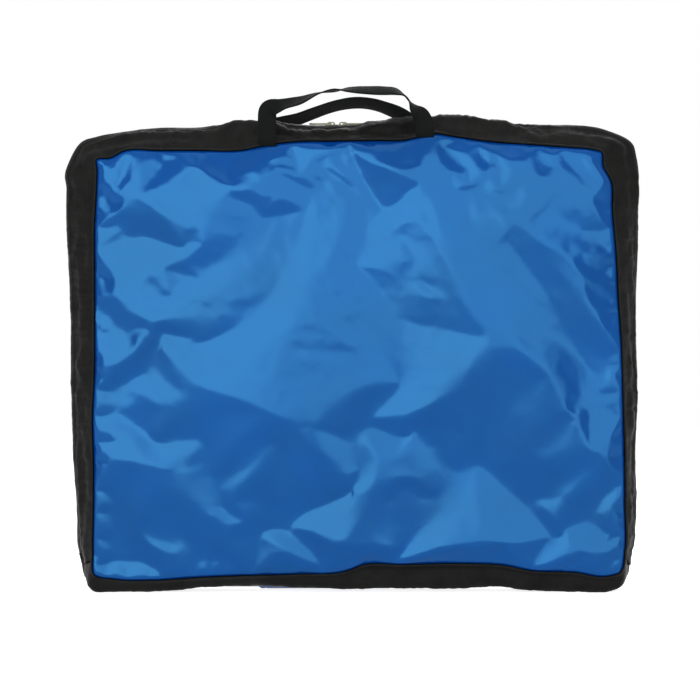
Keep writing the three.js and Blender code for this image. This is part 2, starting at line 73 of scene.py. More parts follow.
# Clockwise from the lower left corner, seen from the front: where the panel's seam and the gusset's
# crown pass, as (seam x, seam z, crown x, crown z) in millimetres.
EDGE = (
    (-281.4, 20.1, -287.0, 4.0),
    (-283.0, 44.1, -299.5, 39.7),
    (-282.5, 90.9, -302.8, 89.2),
    (-282.5, 139.8, -306.6, 138.6),
    (-283.6, 188.8, -308.3, 188.1),
    (-281.4, 243.2, -309.9, 243.0),
    (-281.4, 297.7, -309.9, 298.0),
    (-281.4, 352.1, -312.1, 352.9),
    (-281.4, 401.1, -314.9, 402.4),
    (-279.2, 441.3, -314.9, 440.8),
    (-278.7, 460.9, -314.0, 467.2),
    (-279.2, 472.3, -301.7, 490.3),
    (-264.0, 474.5, -279.7, 500.2),
    (-249.8, 481.6, -253.3, 504.6),
    (-209.5, 482.7, -211.6, 509.5),
    (-166.0, 482.7, -167.6, 510.1),
    (-122.5, 482.7, -123.6, 517.0),
    (-89.8, 489.2, -85.2, 517.0),
    (-57.2, 492.5, -57.7, 512.4),
    (-19.1, 493.0, -19.2, 512.4),
    (24.5, 493.6, 24.7, 517.0),
    (57.1, 494.1, 57.7, 521.0),
    (88.7, 501.2, 85.2, 521.0),
    (111.5, 497.9, 112.7, 525.0),
    (149.6, 492.5, 151.1, 519.3),
    (193.2, 489.2, 195.1, 512.8),
    (236.7, 485.9, 239.0, 512.3),
    (260.6, 483.8, 278.6, 506.8),
    (271.5, 480.5, 303.9, 495.8),
    (273.7, 465.3, 313.2, 473.8),
    (282.4, 447.9, 314.9, 446.3),
    (283.5, 417.4, 314.3, 413.4),
    (287.3, 373.8, 313.8, 374.9),
    (290.0, 319.4, 311.6, 320.0),
    (293.3, 270.4, 311.6, 270.5),
    (294.9, 210.6, 312.7, 215.5),
    (296.6, 156.2, 310.5, 155.1),
    (297.1, 90.9, 311.6, 89.2),
    (297.1, 47.3, 306.6, 43.0),
    (291.1, 22.3, 296.2, 8.9),
    (275.9, 17.9, 278.6, 0.4),
    (242.1, 22.3, 244.5, 0.4),
    (193.2, 24.5, 195.1, 2.3),
    (166.0, 29.9, 162.1, 6.2),
    (117.0, 32.1, 118.1, 5.1),
    (51.7, 31.0, 52.2, 4.5),
    (13.6, 31.0, 13.7, 4.0),
    (-8.2, 23.4, -8.2, 4.0),
    (-57.2, 20.7, -57.7, 5.6),
    (-111.6, 19.0, -112.7, 7.3),
    (-166.0, 16.8, -167.6, 5.1),
    (-220.4, 13.6, -222.6, 1.2),
    (-258.5, 14.7, -264.3, 0.7),
)
LOWER_LEFT, UPPER_LEFT, UPPER_RIGHT, LOWER_RIGHT = 0, 11, 28, 39
SEAM_DEPTH = 35.0
PANEL_DEPTH = 37.3
ZIP_EDGE_DEPTH = 9.0
CROWN_HALF_WIDTH = 6.0
BASE_HALF_WIDTH = 28.0
GUSSET_BOW = 1.6
BASE_LEVEL_HEIGHT = 6.0  # up to here the gusset is as level as at the base
ZIP_END_HEIGHT = 30.0
ZIP_LINE = 512.3  # the zip runs straight at this height where the gusset bunches up beside it
BAG_HALF_WIDTH = 304.9
BAG_HEIGHT = 512.3
CLOTH_THICKNESS = 1.2
PANEL_FLAT = (592.0, 482.0)  # the flat cloth of one face, across and up

# Where a face swells or dips over what the bag holds, the same as in the solids: its middle across
# and up and its reach across and up, as shares of the half width and the height, and its rise
FACE_SWELLS = (
    (0.48, 0.6, 0.42, 0.32, 5.5),
    (-0.55, 0.82, 0.45, 0.13, 4.5),
    (-0.3, 0.4, 0.5, 0.18, 2.5),
    (-0.62, 0.16, 0.36, 0.15, -4.0),
)


def hermite(rows, slopes, i, j, gap, t):
    """The smooth curve from row i to row j, at the share t of the gap between them."""
    return (
        rows[i] * (2 * t**3 - 3 * t**2 + 1)
        + slopes[i] * gap * (t**3 - 2 * t**2 + t)
        + rows[j] * (3 * t**2 - 2 * t**3)
        + slopes[j] * gap * (t**3 - t**2)
    )


class Edge:
    """The closed line of stations round the bag, by distance along the seam."""

    def __init__(self, rows):
        self.rows = np.array(rows, float)
        ahead = np.roll(self.rows, -1, axis=0)
        self.gaps = np.hypot(*(ahead - self.rows)[:, :2].T)
        self.starts = np.concatenate(([0.0], np.cumsum(self.gaps)))
        slope = (ahead - self.rows) / self.gaps[:, None]
        back, gap_back = np.roll(slope, 1, axis=0), np.roll(self.gaps, 1)
        both = (self.gaps + gap_back)[:, None]
        self.tangents = (slope * gap_back[:, None] + back * self.gaps[:, None]) / both
        self.length = self.starts[-1]

    def at(self, distance):
        """Rows of (seam x, seam z, crown x, crown z) at these distances."""
        distance = np.mod(np.asarray(distance, float), self.length)
        i = np.clip(np.searchsorted(self.starts, distance, side="right") - 1, 0, len(self.gaps) - 1)
        j = (i + 1) % len(self.gaps)
        gap = self.gaps[i][:, None]
        t = ((distance - self.starts[i]) / self.gaps[i])[:, None]
        return hermite(self.rows, self.tangents, i, j, gap, t)

    def where_crown_is(self, height, low, high):
        """Distance between two rows at which the crown passes that height."""
        distances = np.linspace(self.starts[low], self.starts[high], 400)
        heights = self.at(distances)[:, 3]
        return float(distances[np.argmin(abs(heights - height))])


edge = Edge(EDGE)
ZIP_LEFT = edge.where_crown_is(ZIP_END_HEIGHT, LOWER_LEFT, LOWER_LEFT + 3)
ZIP_RIGHT = edge.where_crown_is(ZIP_END_HEIGHT, LOWER_RIGHT - 3, LOWER_RIGHT)


def panel_outline(u, v):
    """Points inside the seam, from shares of the way across and up, as x and z in millimetres."""
    start = edge.starts

    def side(low, high, share):
        return edge.at(start[low] + (start[high] - start[low]) * share)[:, :2]

    left = side(LOWER_LEFT, UPPER_LEFT, v)
    top = side(UPPER_LEFT, UPPER_RIGHT, u)
    right = side(UPPER_RIGHT, LOWER_RIGHT, 1 - v)
    bottom = side(LOWER_RIGHT, len(EDGE), 1 - u)
    u, v = u[:, None], v[:, None]
    corners = [np.array(EDGE[i][:2]) for i in (LOWER_LEFT, LOWER_RIGHT, UPPER_LEFT, UPPER_RIGHT)]
    return (
        (1 - v) * bottom + v * top + (1 - u) * left + u * right
        - (1 - u) * (1 - v) * corners[0] - u * (1 - v) * corners[1]
        - (1 - u) * v * corners[2] - u * v * corners[3]
    )


def face_rise(x, z, bulge):
    """How far a face stands out over its seam at these points, in millimetres."""
    middle = np.array((0, BAG_HEIGHT / 2))
    rim = edge.at(np.linspace(0, edge.length, 2000, endpoint=False))[:, :2] - middle
    reach = np.interp(np.arctan2(z - middle[1], x), np.arctan2(rim[:, 1], rim[:, 0]),
                      np.hypot(*rim.T), period=2 * math.pi)
    share = np.minimum(1, np.hypot(x, z - middle[1]) / reach)
    rise = np.full(x.shape, float(bulge))
    for across, up, reach_across, reach_up, height in FACE_SWELLS:
        away = np.hypot((x / BAG_HALF_WIDTH - across) / reach_across,
                        (z / BAG_HEIGHT - up) / reach_up)
        rise += height * np.maximum(0, 1 - away**2) ** 2
    return rise * (1 - share**3)


# ---- Folds of the front -------------------------------------------------------------------------

# Each facet of the crumpled front as its corners and its tilt in degrees, to the right and upwards.
# A later facet lies over an earlier one.
FACETS = (
    # the bright strips below the top seam and beside the left one
    (((96, 158), (125, 150), (300, 149), (420, 138), (604, 150), (606, 190), (500, 176), (420, 172),
      (300, 176), (112, 186)), (-1, 7)),
    (((92, 180), (112, 186), (116, 330), (92, 335)), (-5, 3)),
    # rolls that face up below the top seam
    (((170, 150), (285, 149), (288, 170), (283, 181), (272, 176), (262, 181), (250, 170), (238, 176),
      (226, 184), (212, 177), (196, 167), (176, 157)), (3, 19)),
    (((462, 141), (480, 147), (500, 155), (513, 158), (540, 155), (562, 151), (575, 146), (530, 141),
      (490, 139)), (0, 19)),
    (((360, 146), (380, 152), (400, 148), (412, 139), (375, 140)), (0, 19)),
    (((582, 147), (602, 151), (604, 168), (612, 184), (602, 178), (592, 162)), (12, 17)),
    # facets that fall away downwards from the bright upper half
    (((98, 176), (110, 186), (122, 194), (136, 197), (152, 206), (167, 222), (189, 249), (170, 246),
      (146, 236), (129, 239), (118, 218), (106, 196)), (-11, -16)),
    (((223, 186), (240, 193), (252, 188), (262, 200), (272, 195), (264, 217), (252, 205),
      (238, 199)), (-4, -18)),
    (((261, 217), (281, 197), (299, 211), (280, 217)), (0, -19)),
    (((166, 269), (178, 262), (191, 260), (197, 279), (182, 273)), (-6, -8)),
    (((113, 231), (118, 236), (124, 250), (122, 260), (115, 248)), (-6, -8)),
    (((94, 251), (104, 256), (111, 268), (113, 290), (124, 310), (143, 318), (162, 322), (184, 331),
      (196, 337), (188, 341), (163, 330), (150, 333), (160, 350), (140, 352), (128, 338), (117, 330),
      (112, 318), (94, 300)), (-11, -12)),
    (((94, 270), (104, 280), (110, 296), (94, 294)), (-7, 2)),
    (((354, 154), (372, 164), (395, 171), (421, 184), (408, 192), (396, 207), (382, 212), (373, 196),
      (363, 177)), (-6, -19)),
    (((384, 232), (402, 222), (422, 219), (432, 236), (446, 258), (470, 283), (494, 305), (486, 340),
      (440, 330), (395, 318), (380, 290)), (-3, -9)),
    (((395, 237), (404, 236), (412, 256), (402, 264)), (0, 3)),
    (((413, 284), (424, 284), (440, 297), (424, 296)), (0, 3)),
    (((284, 330), (318, 322), (342, 340), (360, 352), (300, 352)), (-2, -4)),
    (((496, 216), (522, 226), (545, 246), (562, 250), (577, 270), (588, 300), (604, 330), (614, 352),
      (602, 380), (586, 366), (570, 340), (556, 312), (541, 286), (522, 262), (506, 240)), (5, -12)),
    (((560, 250), (580, 245), (600, 262), (612, 300), (614, 340), (604, 330), (588, 300),
      (577, 270)), (8, 0)),
    # the lower half, which lies in shade but for what turns up to the light
    (((92, 366), (110, 366), (136, 350), (128, 338), (118, 330), (150, 331), (166, 347), (179, 368),
      (196, 385), (240, 400), (300, 425), (350, 428), (350, 500), (300, 510), (270, 530),
      (262, 562), (165, 572), (92, 560)), (-2, -8)),
    (((124, 332), (148, 333), (162, 347), (174, 368), (180, 390), (168, 384), (150, 364),
      (138, 352)), (-4, -14)),
    (((478, 350), (512, 342), (547, 376), (566, 410), (592, 440), (608, 470), (625, 478), (628, 545),
      (600, 530), (575, 510), (560, 497), (545, 502), (534, 506), (503, 480), (472, 450), (462, 436),
      (440, 426), (410, 430), (400, 420), (432, 404), (462, 388)), (4, -9)),
    (((92, 334), (112, 335), (124, 346), (136, 350), (124, 361), (109, 366), (98, 352)), (-3, 4)),
    (((155, 333), (196, 336), (186, 350), (175, 358), (163, 348)), (-2, 4)),
    (((200, 352), (214, 346), (236, 332), (226, 330), (206, 340)), (-2, 4)),
    (((128, 386), (143, 373), (155, 388), (163, 407), (150, 396)), (-2, 4)),
    (((116, 384), (123, 383), (130, 400), (132, 424), (146, 431), (156, 445), (171, 446), (170, 470),
      (150, 463), (112, 459), (104, 445), (119, 439), (114, 415)), (-2, 4.5)),
    (((93, 417), (109, 417), (113, 410), (106, 396), (113, 396), (115, 420), (105, 434),
      (97, 427)), (-3, 4.5)),
    (((350, 430), (396, 428), (411, 441), (438, 446), (448, 466), (461, 475), (472, 456), (483, 466),
      (507, 491), (531, 511), (547, 532), (552, 537), (520, 542), (470, 545), (434, 550), (402, 564),
      (380, 566), (400, 554), (404, 546), (352, 543), (352, 470)), (-1, 7)),
    (((290, 528), (308, 511), (330, 502), (352, 490), (352, 543), (330, 543), (312, 531)), (-2, 8)),
    (((296, 425), (330, 430), (352, 444), (352, 476), (336, 472), (326, 456), (310, 444)), (-2, 4)),
    (((386, 494), (392, 480), (402, 476), (420, 481), (434, 493), (425, 498), (411, 489), (398, 488),
      (388, 502)), (-2, -9)),
    (((402, 559), (432, 552), (480, 549), (522, 546), (549, 541), (556, 548), (530, 563),
      (402, 566)), (0, -10)),
    (((534, 500), (541, 496), (556, 505), (576, 524), (601, 545), (622, 562), (623, 569), (600, 560),
      (576, 546), (560, 535), (546, 518)), (2, 5)),
    (((546, 506), (562, 532), (556, 538), (540, 518)), (-6, -9)),
    (((534, 562), (545, 541), (560, 545), (556, 560), (541, 571)), (-2, 5)),
    (((573, 400), (600, 411), (628, 403), (627, 424), (606, 437), (602, 446), (612, 462), (624, 455),
      (622, 470), (608, 464), (591, 448), (570, 420)), (3, 5)),
    (((606, 498), (626, 481), (624, 492), (611, 503)), (2, 5)),
    (((96, 562), (140, 563), (158, 568), (168, 579), (120, 582), (97, 577)), (0, 5)),
    (((262, 536), (272, 528), (292, 532), (306, 546), (326, 568), (300, 557), (283, 546)), (0, 5)),
)

# Small creases as the line they follow, their width in units of the layout, and their tilt.
CREASES = (
    (((312, 167), (324, 158), (337, 152)), 5, (-4, -9)),
    (((326, 169), (342, 178), (358, 194)), 6, (-6, -8)),
    (((280, 174), (298, 180), (315, 189)), 5, (-3, -8)),
    (((314, 176), (326, 184), (336, 197)), 4, (-5, -8)),
    (((272, 163), (284, 161), (292, 165)), 3, (0, -8)),
    (((459, 190), (476, 186), (493, 171)), 4, (4, -9)),
    (((528, 222), (536, 217), (543, 211)), 4, (4, -9)),
    (((576, 236), (588, 228), (602, 226)), 5, (3, -9)),
    (((603, 245), (616, 242)), 4, (3, -8)),
    (((492, 190), (500, 194), (514, 187)), 4, (0, -8)),
    (((594, 200), (600, 190), (608, 184)), 3, (8, -6)),
    (((438, 143), (441, 157)), 4, (14, 0)),
    (((148, 274), (163, 291), (186, 299)), 5, (-5, -9)),
    (((182, 311), (192, 302), (200, 300), (208, 307)), 5, (-2, -9)),
    (((118, 268), (132, 278)), 4, (-5, -8)),
    (((340, 294), (352, 286)), 5, (-4, -8)),
    (((192, 345), (228, 328)), 5, (-3, -7)),
    (((428, 205), (436, 232), (452, 256), (480, 284)), 5, (-9, 4)),
    (((312, 200), (306, 240), (294, 290)), 6, (-8, 2)),
    (((350, 200), (352, 260), (346, 300)), 5, (7, 1)),
    (((428, 446), (436, 440)), 4, (-2, -7)),
    (((212, 512), (222, 510)), 4, (0, 5)),
    (((140, 530), (150, 542), (176, 550)), 5, (-2, 4)),
)

WIDEST_FOLD = 85.0  # what leans more broadly than this is left out
HIGHEST_FOLD = 16.0  # over the seam, which the front's hinge lets lie flat on the floor
LAYOUT_SCALE = 1.0884  # millimetres of the front for one unit of the layout above
LAYOUT_CENTRE = (352.5, 350.0)
TILT_PASSES = 1  # how often the tilts are blurred
CREASE_FADE = 1.5  # a crease fades out over its half width, up to this many half widths away
CAMERA_HEIGHT = 265.0


def layout_point(p):
    """A point of the fold layout as x and z in millimetres."""
    return (
        (p[0] - LAYOUT_CENTRE[0]) * LAYOUT_SCALE,
        CAMERA_HEIGHT + (LAYOUT_CENTRE[1] - p[1]) * LAYOUT_SCALE,
    )


def inside(x, z, corners):
    """Which points lie within a polygon."""
    hit = np.zeros(x.shape, bool)
    for (ax, az), (bx, bz) in zip(corners, corners[1:] + corners[:1]):
        crosses = (az > z) != (bz > z)
        if az != bz:
            hit ^= crosses & (x < (bx - ax) * (z - az) / (bz - az) + ax)
    return hit


def near(x, z, line):
    """Distance of the points from a line of points."""
    best = np.full(x.shape, np.inf)
    for (ax, az), (bx, bz) in zip(line, line[1:]):
        dx, dz = bx - ax, bz - az
        t = np.clip(((x - ax) * dx + (z - az) * dz) / (dx * dx + dz * dz), 0, 1)
        best = np.minimum(best, np.hypot(x - ax - t * dx, z - az - t * dz))
    return best


# How much of the settled cloth's broad sway is left out, and how broad that is
BROAD_SHARE, BROAD_PASSES = 0.8, 60


def blurred(field, times):
    for _ in range(times):
        for axis in (0, 1):
            field = (np.roll(field, 1, axis) + 2 * field + np.roll(field, -1, axis)) / 4
    return field


def relief(x, z, base):
    """Heights on the base heights that tilt it as the facets and creases say.

    The tilts asked for needn't fit together, so this takes the surface that comes nearest, leaves
    out what is wider than the widest fold, and is nothing at the seam."""
    step_x = float(np.mean(np.diff(x, axis=0)))
    step_z = float(np.mean(np.diff(z, axis=1)))
    lean_x = -np.gradient(base, step_x, axis=0)
    lean_z = -np.gradient(base, step_z, axis=1)
    right, up = np.zeros(x.shape), np.zeros(x.shape)
    for corners, tilt in FACETS:
        here = inside(x, z, [layout_point(p) for p in corners])
        right[here] = math.tan(math.radians(tilt[0])) - lean_x[here]
        up[here] = math.tan(math.radians(tilt[1])) - lean_z[here]
    for line, width, tilt in CREASES:
        reach = near(x, z, [layout_point(p) for p in line])
        share = np.clip(CREASE_FADE - reach / (width * LAYOUT_SCALE / 2), 0, 1)
        right += (math.tan(math.radians(tilt[0])) - lean_x - right) * share
        up += (math.tan(math.radians(tilt[1])) - lean_z - up) * share
    slope_x, slope_z = -blurred(right, TILT_PASSES), -blurred(up, TILT_PASSES)
    spread = np.gradient(slope_x, step_x, axis=0) + np.gradient(slope_z, step_z, axis=1)
    rows, columns = x.shape[0] - 2, x.shape[1] - 2
    waves = [np.sin(math.pi * np.outer(np.arange(1, n + 1), np.arange(1, n + 1)) / (n + 1))
             for n in (rows, columns)]
    stiff = [(2 - 2 * np.cos(math.pi * np.arange(1, n + 1) / (n + 1))) / step**2
             for n, step in ((rows, step_x), (columns, step_z))]
    parts = waves[0] @ -spread[1:-1, 1:-1] @ waves[1]
    parts /= stiff[0][:, None] + stiff[1][None, :] + 1 / WIDEST_FOLD**2
    height = np.zeros(x.shape)
    height[1:-1, 1:-1] = waves[0] @ parts @ waves[1] * 4 / ((rows + 1) * (columns + 1))
    return height


# ---- Materials ----------------------------------------------------------------------------------

# Finer things than the meshes show, in metres: the stitches beside the zip and the net's diamonds
STITCH_DEPTH, STITCH_HALF_WIDTH, STITCH_LENGTH = 0.0135, 0.0004, 0.0042
NET_MESH = 0.022

# How strongly the front's coat reflects, and in what colour
COAT_SPECULAR, COAT_TINT = 0.9, (0.12, 0.53, 0.86, 1.0)


class Shader:
    """A new material with a Principled shader, and short ways to add nodes to it."""

    def __init__(self, name, **sockets):
        self.material = bpy.data.materials.new(name)
        self.material.use_nodes = True
        self.tree = self.material.node_tree
        self.surface = self.tree.nodes["Principled BSDF"]
        for socket, value in sockets.items():
            self.surface.inputs[socket.replace("_", " ")].default_value = value

    def node(self, kind, inputs=None, **settings):
        made = self.tree.nodes.new(kind)
        for key, value in settings.items():
            setattr(made, key, value)
        for key, value in (inputs or {}).items():
            if isinstance(value, bpy.types.NodeSocket):
                self.tree.links.new(value, made.inputs[key])
            else:
                made.inputs[key].default_value = value
        return made

    def coords(self, kind="Object"):
        return self.node("ShaderNodeTexCoord").outputs[kind]

    def scaled(self, vector, scale):
        return self.node("ShaderNodeMapping", {"Vector": vector, "Scale": scale}).outputs[0]

    def noise(self, vector, scale, detail=3.0, roughness=0.5, distortion=0.0):
        return self.node("ShaderNodeTexNoise", {
            "Vector": vector, "Scale": scale, "Detail": detail,
            "Roughness": roughness, "Distortion": distortion,
        }).outputs["Fac"]

    def math(self, operation, a, b=0.0, clamp=False):
        return self.node("ShaderNodeMath", {0: a, 1: b}, operation=operation,
                         use_clamp=clamp).outputs[0]

    def span(self, value, low, high, to_low=0.0, to_high=1.0):
        return self.node("ShaderNodeMapRange", {
            "Value": value, "From Min": low, "From Max": high,
            "To Min": to_low, "To Max": to_high,
        }).outputs["Result"]

    def blend(self, share, low, high):
        return self.node("ShaderNodeMix", {0: share, 6: low, 7: high},
                         data_type="RGBA").outputs[2]

    def weave(self, vector, pitch, ratio=1.0):
        """The height of a plain weave of threads at that pitch in metres."""
        parts = self.node("ShaderNodeSeparateXYZ", {0: vector})
        turns = 2 * math.pi / pitch
        warp = self.math("SINE", self.math("MULTIPLY", parts.outputs[0], turns))
        weft = self.math("SINE", self.math("MULTIPLY", parts.outputs[1], turns * ratio))
        return self.math("MULTIPLY", warp, weft)

    def bump(self, height, distance, strength=1.0, normal=None):
        inputs = {"Height": height, "Distance": distance, "Strength": strength}
        if normal is not None:
            inputs["Normal"] = normal
        return self.node("ShaderNodeBump", inputs).outputs[0]

    def wire(self, **sockets):
        for socket, value in sockets.items():
            self.tree.links.new(value, self.surface.inputs[socket.replace("_", " ")])
        return self.material


def linear(colour):
    """A display colour as the linear one that a shader takes."""
    return tuple(c / 12.92 if c <= 0.04045 else ((c + 0.055) / 1.055) ** 2.4 for c in colour)


def shade(colour, factor):
    return (*[min(1.0, c * factor) for c in linear(colour)], 1.0)


def coated_nylon(name, colour, roughness, specular, tint):
    """Thin coated nylon: a fine weave under a glossy coat, with faint handling marks."""
    s = Shader(name, Roughness=roughness, Specular_IOR_Level=specular, Specular_Tint=tint)
    flat, solid = s.coords("UV"), s.coords()
    patchy = s.noise(solid, 14, 4)
    tone = s.blend(s.span(patchy, 0.3, 0.7), shade(colour, 0.9), shade(colour, 1.12))
    rough = s.span(s.noise(solid, 60, 3), 0.3, 0.7, roughness * 0.85, roughness * 1.2)
    weave = s.weave(flat, 0.0009)
    crinkle = s.bump(s.noise(solid, 90, 4, 0.6), 0.0004, 0.18)
    return s.wire(Base_Color=tone, Roughness=rough, Normal=s.bump(weave, 0.00002, 0.3, crinkle))


def satin_nylon(name, colour):
    """Uncoated black nylon with a soft satin gloss, and stitches along the zip's hem."""
    s = Shader(name, Roughness=0.36, Specular_IOR_Level=0.1)
    flat, solid = s.coords("UV"), s.coords()
    # Random tone, partly wear and partly painted light: painted satin highlights up to 2.6 times the
    # cloth's colour, and painted crease shade down to a quarter of it
    wear_sheen_and_shade = s.span(s.noise(solid, 38, 6, 0.7), 0.35, 0.72)
    tone = s.blend(wear_sheen_and_shade, shade(colour, 0.25), shade(colour, 2.6))
    rough = s.span(s.noise(solid, 90, 3), 0.3, 0.7, 0.28, 0.46)
    crinkle = s.bump(s.noise(solid, 85, 6, 0.7), 0.0022, 0.6)
    parts = s.node("ShaderNodeSeparateXYZ", {0: flat})
    depth = s.math("ABSOLUTE", parts.outputs[1])
    beside = s.math("ABSOLUTE", s.math("SUBTRACT", depth, STITCH_DEPTH))
    on_line = s.math("LESS_THAN", beside, STITCH_HALF_WIDTH)
    turn = s.math("SINE", s.math("MULTIPLY", parts.outputs[0], 2 * math.pi / STITCH_LENGTH))
    at_zip = s.math("MULTIPLY", s.math("GREATER_THAN", parts.outputs[0], ZIP_LEFT * MM),
                    s.math("LESS_THAN", parts.outputs[0], ZIP_RIGHT * MM))
    stitch = s.math("MULTIPLY", s.math("MULTIPLY", on_line, s.math("GREATER_THAN", turn, -0.4)),
                    at_zip)
    tone = s.blend(stitch, tone, shade(colour, 2.6))
    sewn = s.bump(stitch, 0.0005, 0.8, crinkle)
    return s.wire(Base_Color=tone, Roughness=rough,
                  Normal=s.bump(s.weave(flat, 0.0011), 0.00006, 0.6, sewn))


def woven_tape(name, colour, pitch, rough=0.75):
    """Close-woven webbing or tape, with its ribs along the length."""
    s = Shader(name, Roughness=rough, Specular_IOR_Level=0.09)
    flat = s.coords("UV")
    weave = s.weave(flat, pitch, 0.6)
    fuzz = s.noise(s.coords(), 400, 4, 0.7)
    tone = s.blend(s.span(weave, -1, 1), shade(colour, 0.6), shade(colour, 1.4))
    return s.wire(Base_Color=tone,
                  Normal=s.bump(weave, 0.0003, 0.8, s.bump(fuzz, 0.0004, 0.3)))


def moulded(name, colour, roughness, wear=0.1):
    """Moulded plastic with a fine spark-eroded grain and a little wear."""
    s = Shader(name, Roughness=roughness, Specular_IOR_Level=0.5)
    solid = s.coords()
    scuffed = s.span(s.noise(solid, 45, 6, 0.65, 0.4), 0.55, 0.75)
    tone = s.blend(scuffed, shade(colour, 1.0), shade(colour, 1 + wear * 3))
    rough = s.span(s.noise(solid, 25, 4), 0.3, 0.7, roughness * 0.85, roughness * 1.25)
    return s.wire(Base_Color=tone, Roughness=rough,
                  Normal=s.bump(s.noise(solid, 900, 2), 0.0001, 0.25))


def cast_metal(name, colour, roughness):
    """Plated or drawn metal with fine scratches."""
    s = Shader(name, Metallic=1.0, Roughness=roughness)
    solid = s.coords()
    tarnish = s.span(s.noise(solid, 120, 5, 0.6), 0.35, 0.7)
    tone = s.blend(tarnish, shade(colour, 0.7), shade(colour, 1.1))
    scratch = s.noise(s.scaled(solid, (1, 8, 1)), 500, 3)
    return s.wire(Base_Color=tone,
                  Roughness=s.span(scratch, 0.3, 0.7, roughness * 0.8, roughness * 1.3),
                  Normal=s.bump(scratch, 0.00005, 0.4))


def ball_skin(name, colour):
    """Pebbled rubber."""
    s = Shader(name, Roughness=0.55, Specular_IOR_Level=0.4)
    solid = s.coords()
    pebble = s.node("ShaderNodeTexVoronoi", {"Vector": solid, "Scale": 700.0}).outputs["Distance"]
    dirt = s.span(s.noise(solid, 40, 4), 0.45, 0.75)
    tone = s.blend(dirt, shade(colour, 1.0), shade(colour, 0.75))
    return s.wire(Base_Color=tone, Normal=s.bump(pebble, 0.0003, 0.5))


def sheet_paper(name, colour):
    """Uncoated paper with faint creases."""
    s = Shader(name, Roughness=0.85, Specular_IOR_Level=0.25)
    solid = s.coords()
    fibre = s.noise(solid, 600, 5, 0.7)
    tone = s.blend(s.span(fibre, 0.3, 0.7), shade(colour, 0.93), shade(colour, 1.0))
    return s.wire(Base_Color=tone, Normal=s.bump(fibre, 0.0001, 0.3))


def cord_net(name, colour):
    """Knotted twine in diamonds, with painted shade between the cords where the layers below lie."""
    s = Shader(name, Roughness=0.75, Specular_IOR_Level=0.3)
    parts = s.node("ShaderNodeSeparateXYZ", {0: s.coords("UV")})
    warped = s.span(s.noise(s.coords(), 22, 2), 0.3, 0.7, -0.004, 0.004)
    across = s.math("ADD", parts.outputs[0], warped)
    up = s.math("ADD", parts.outputs[1], warped)
    turns = 2 * math.pi / NET_MESH
    strands = []
    for way in ("ADD", "SUBTRACT"):
        run = s.math("MULTIPLY", s.math(way, across, up), turns / 2)
        strands.append(s.math("POWER", s.math("ABSOLUTE", s.math("COSINE", run)), 14.0))
    cord = s.math("MAXIMUM", strands[0], strands[1])
    knot = s.math("MULTIPLY", strands[0], strands[1])
    twist = s.noise(s.coords(), 700, 3, 0.6)
    height = s.math("ADD", cord, s.math("MULTIPLY", knot, 0.8))
    # Tone follows the cords' height: the cords and knots are lighter, and the gaps between them are
    # painted shade
    tone = s.blend(s.math("MULTIPLY", height, 0.7, clamp=True), shade(colour, 0.35),
                   shade(colour, 2.2))
    return s.wire(Base_Color=tone,
                  Normal=s.bump(height, 0.0022, 1.0, s.bump(twist, 0.0004, 0.4)))


_finishes = {}


def finish_for(slot):
    """The material of a slot, made once."""
    if slot not in _finishes:
        bag, play = bpy.context.scene.roundnet_bag, bpy.context.scene.roundnet_set
        makers = {
            "panel_nylon": lambda: coated_nylon("Blue coated nylon", bag.front_colour,
                                                bag.front_roughness, COAT_SPECULAR, COAT_TINT),
            "gusset_nylon": lambda: satin_nylon("Black satin nylon", bag.gusset_colour),
            "zip_tape": lambda: woven_tape("Zip tape", bag.tape_colour, 0.0012),
            "binding_tape": lambda: woven_tape("Binding tape", bag.tape_colour, 0.0015),
            "webbing": lambda: woven_tape("Black webbing", bag.webbing_colour, 0.0016, 0.7),
            "zip_metal": lambda: cast_metal("Cast zinc", bag.zip_metal_colour, 0.38),
            "ring_plastic": lambda: moulded("Ring plastic", play.ring_colour, 0.42),
            "leg_plastic": lambda: moulded("Leg plastic", play.leg_colour, 0.38),
            "net_cord": lambda: cord_net("Net cord", play.net_colour),
            "ball_rubber": lambda: ball_skin("Ball rubber", play.ball_colour),
            "pump_plastic": lambda: moulded("Pump plastic", play.pump_colour, 0.3, 0.05),
            "pump_trim": lambda: moulded("Pump trim", play.pump_trim_colour, 0.45),
            "needle_steel": lambda: cast_metal("Needle steel", play.needle_colour, 0.2),
            "paper": lambda: sheet_paper("Paper", play.paper_colour),
        }
        _finishes[slot] = makers[slot]()
    return _finishes[slot]


# ---- Making pieces ------------------------------------------------------------------------------

# Bodies whose pieces are baked where they stand instead of riding on them: a body, the body before
# it, and the two ends of where its cloth would bend; only the bodies are read
BENDS = {
    "flap": ("root", (0, -0.0373, 0.033), (0, -0.0373, 0.085)),
    "front_handle": ("flap", (0, -0.041, 0.492), (0, -0.041, 0.513)),
    "rear_handle": ("root", (0, 0.041, 0.492), (0, 0.041, 0.513)),
}


def placed(name, data):
    """A new object in the scene that shows this data."""
    made = bpy.data.objects.new(name, data)
    bpy.context.scene.collection.objects.link(made)
    return made


def placed_form(name, form):
    """A new object in the scene with this bmesh as its mesh."""
    mesh = bpy.data.meshes.new(name)
    form.to_mesh(mesh)
    return placed(name, mesh)


def piece_from(name, form, slot, body, replaced=(), smooth=True):
    """Turns a finished bmesh into a named piece that rides on a body, or is baked where it stands if
    the body is one of BENDS.
    """
    form.normal_update()
    piece = placed_form(name, form)
    form.free()
    piece.data.materials.append(finish_for(slot))
    for face in piece.data.polygons:
        face.use_smooth = smooth
    if body in BENDS:
        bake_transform(piece)
    else:
        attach(piece, body)
    if replaced:
        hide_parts(*replaced)
    return piece


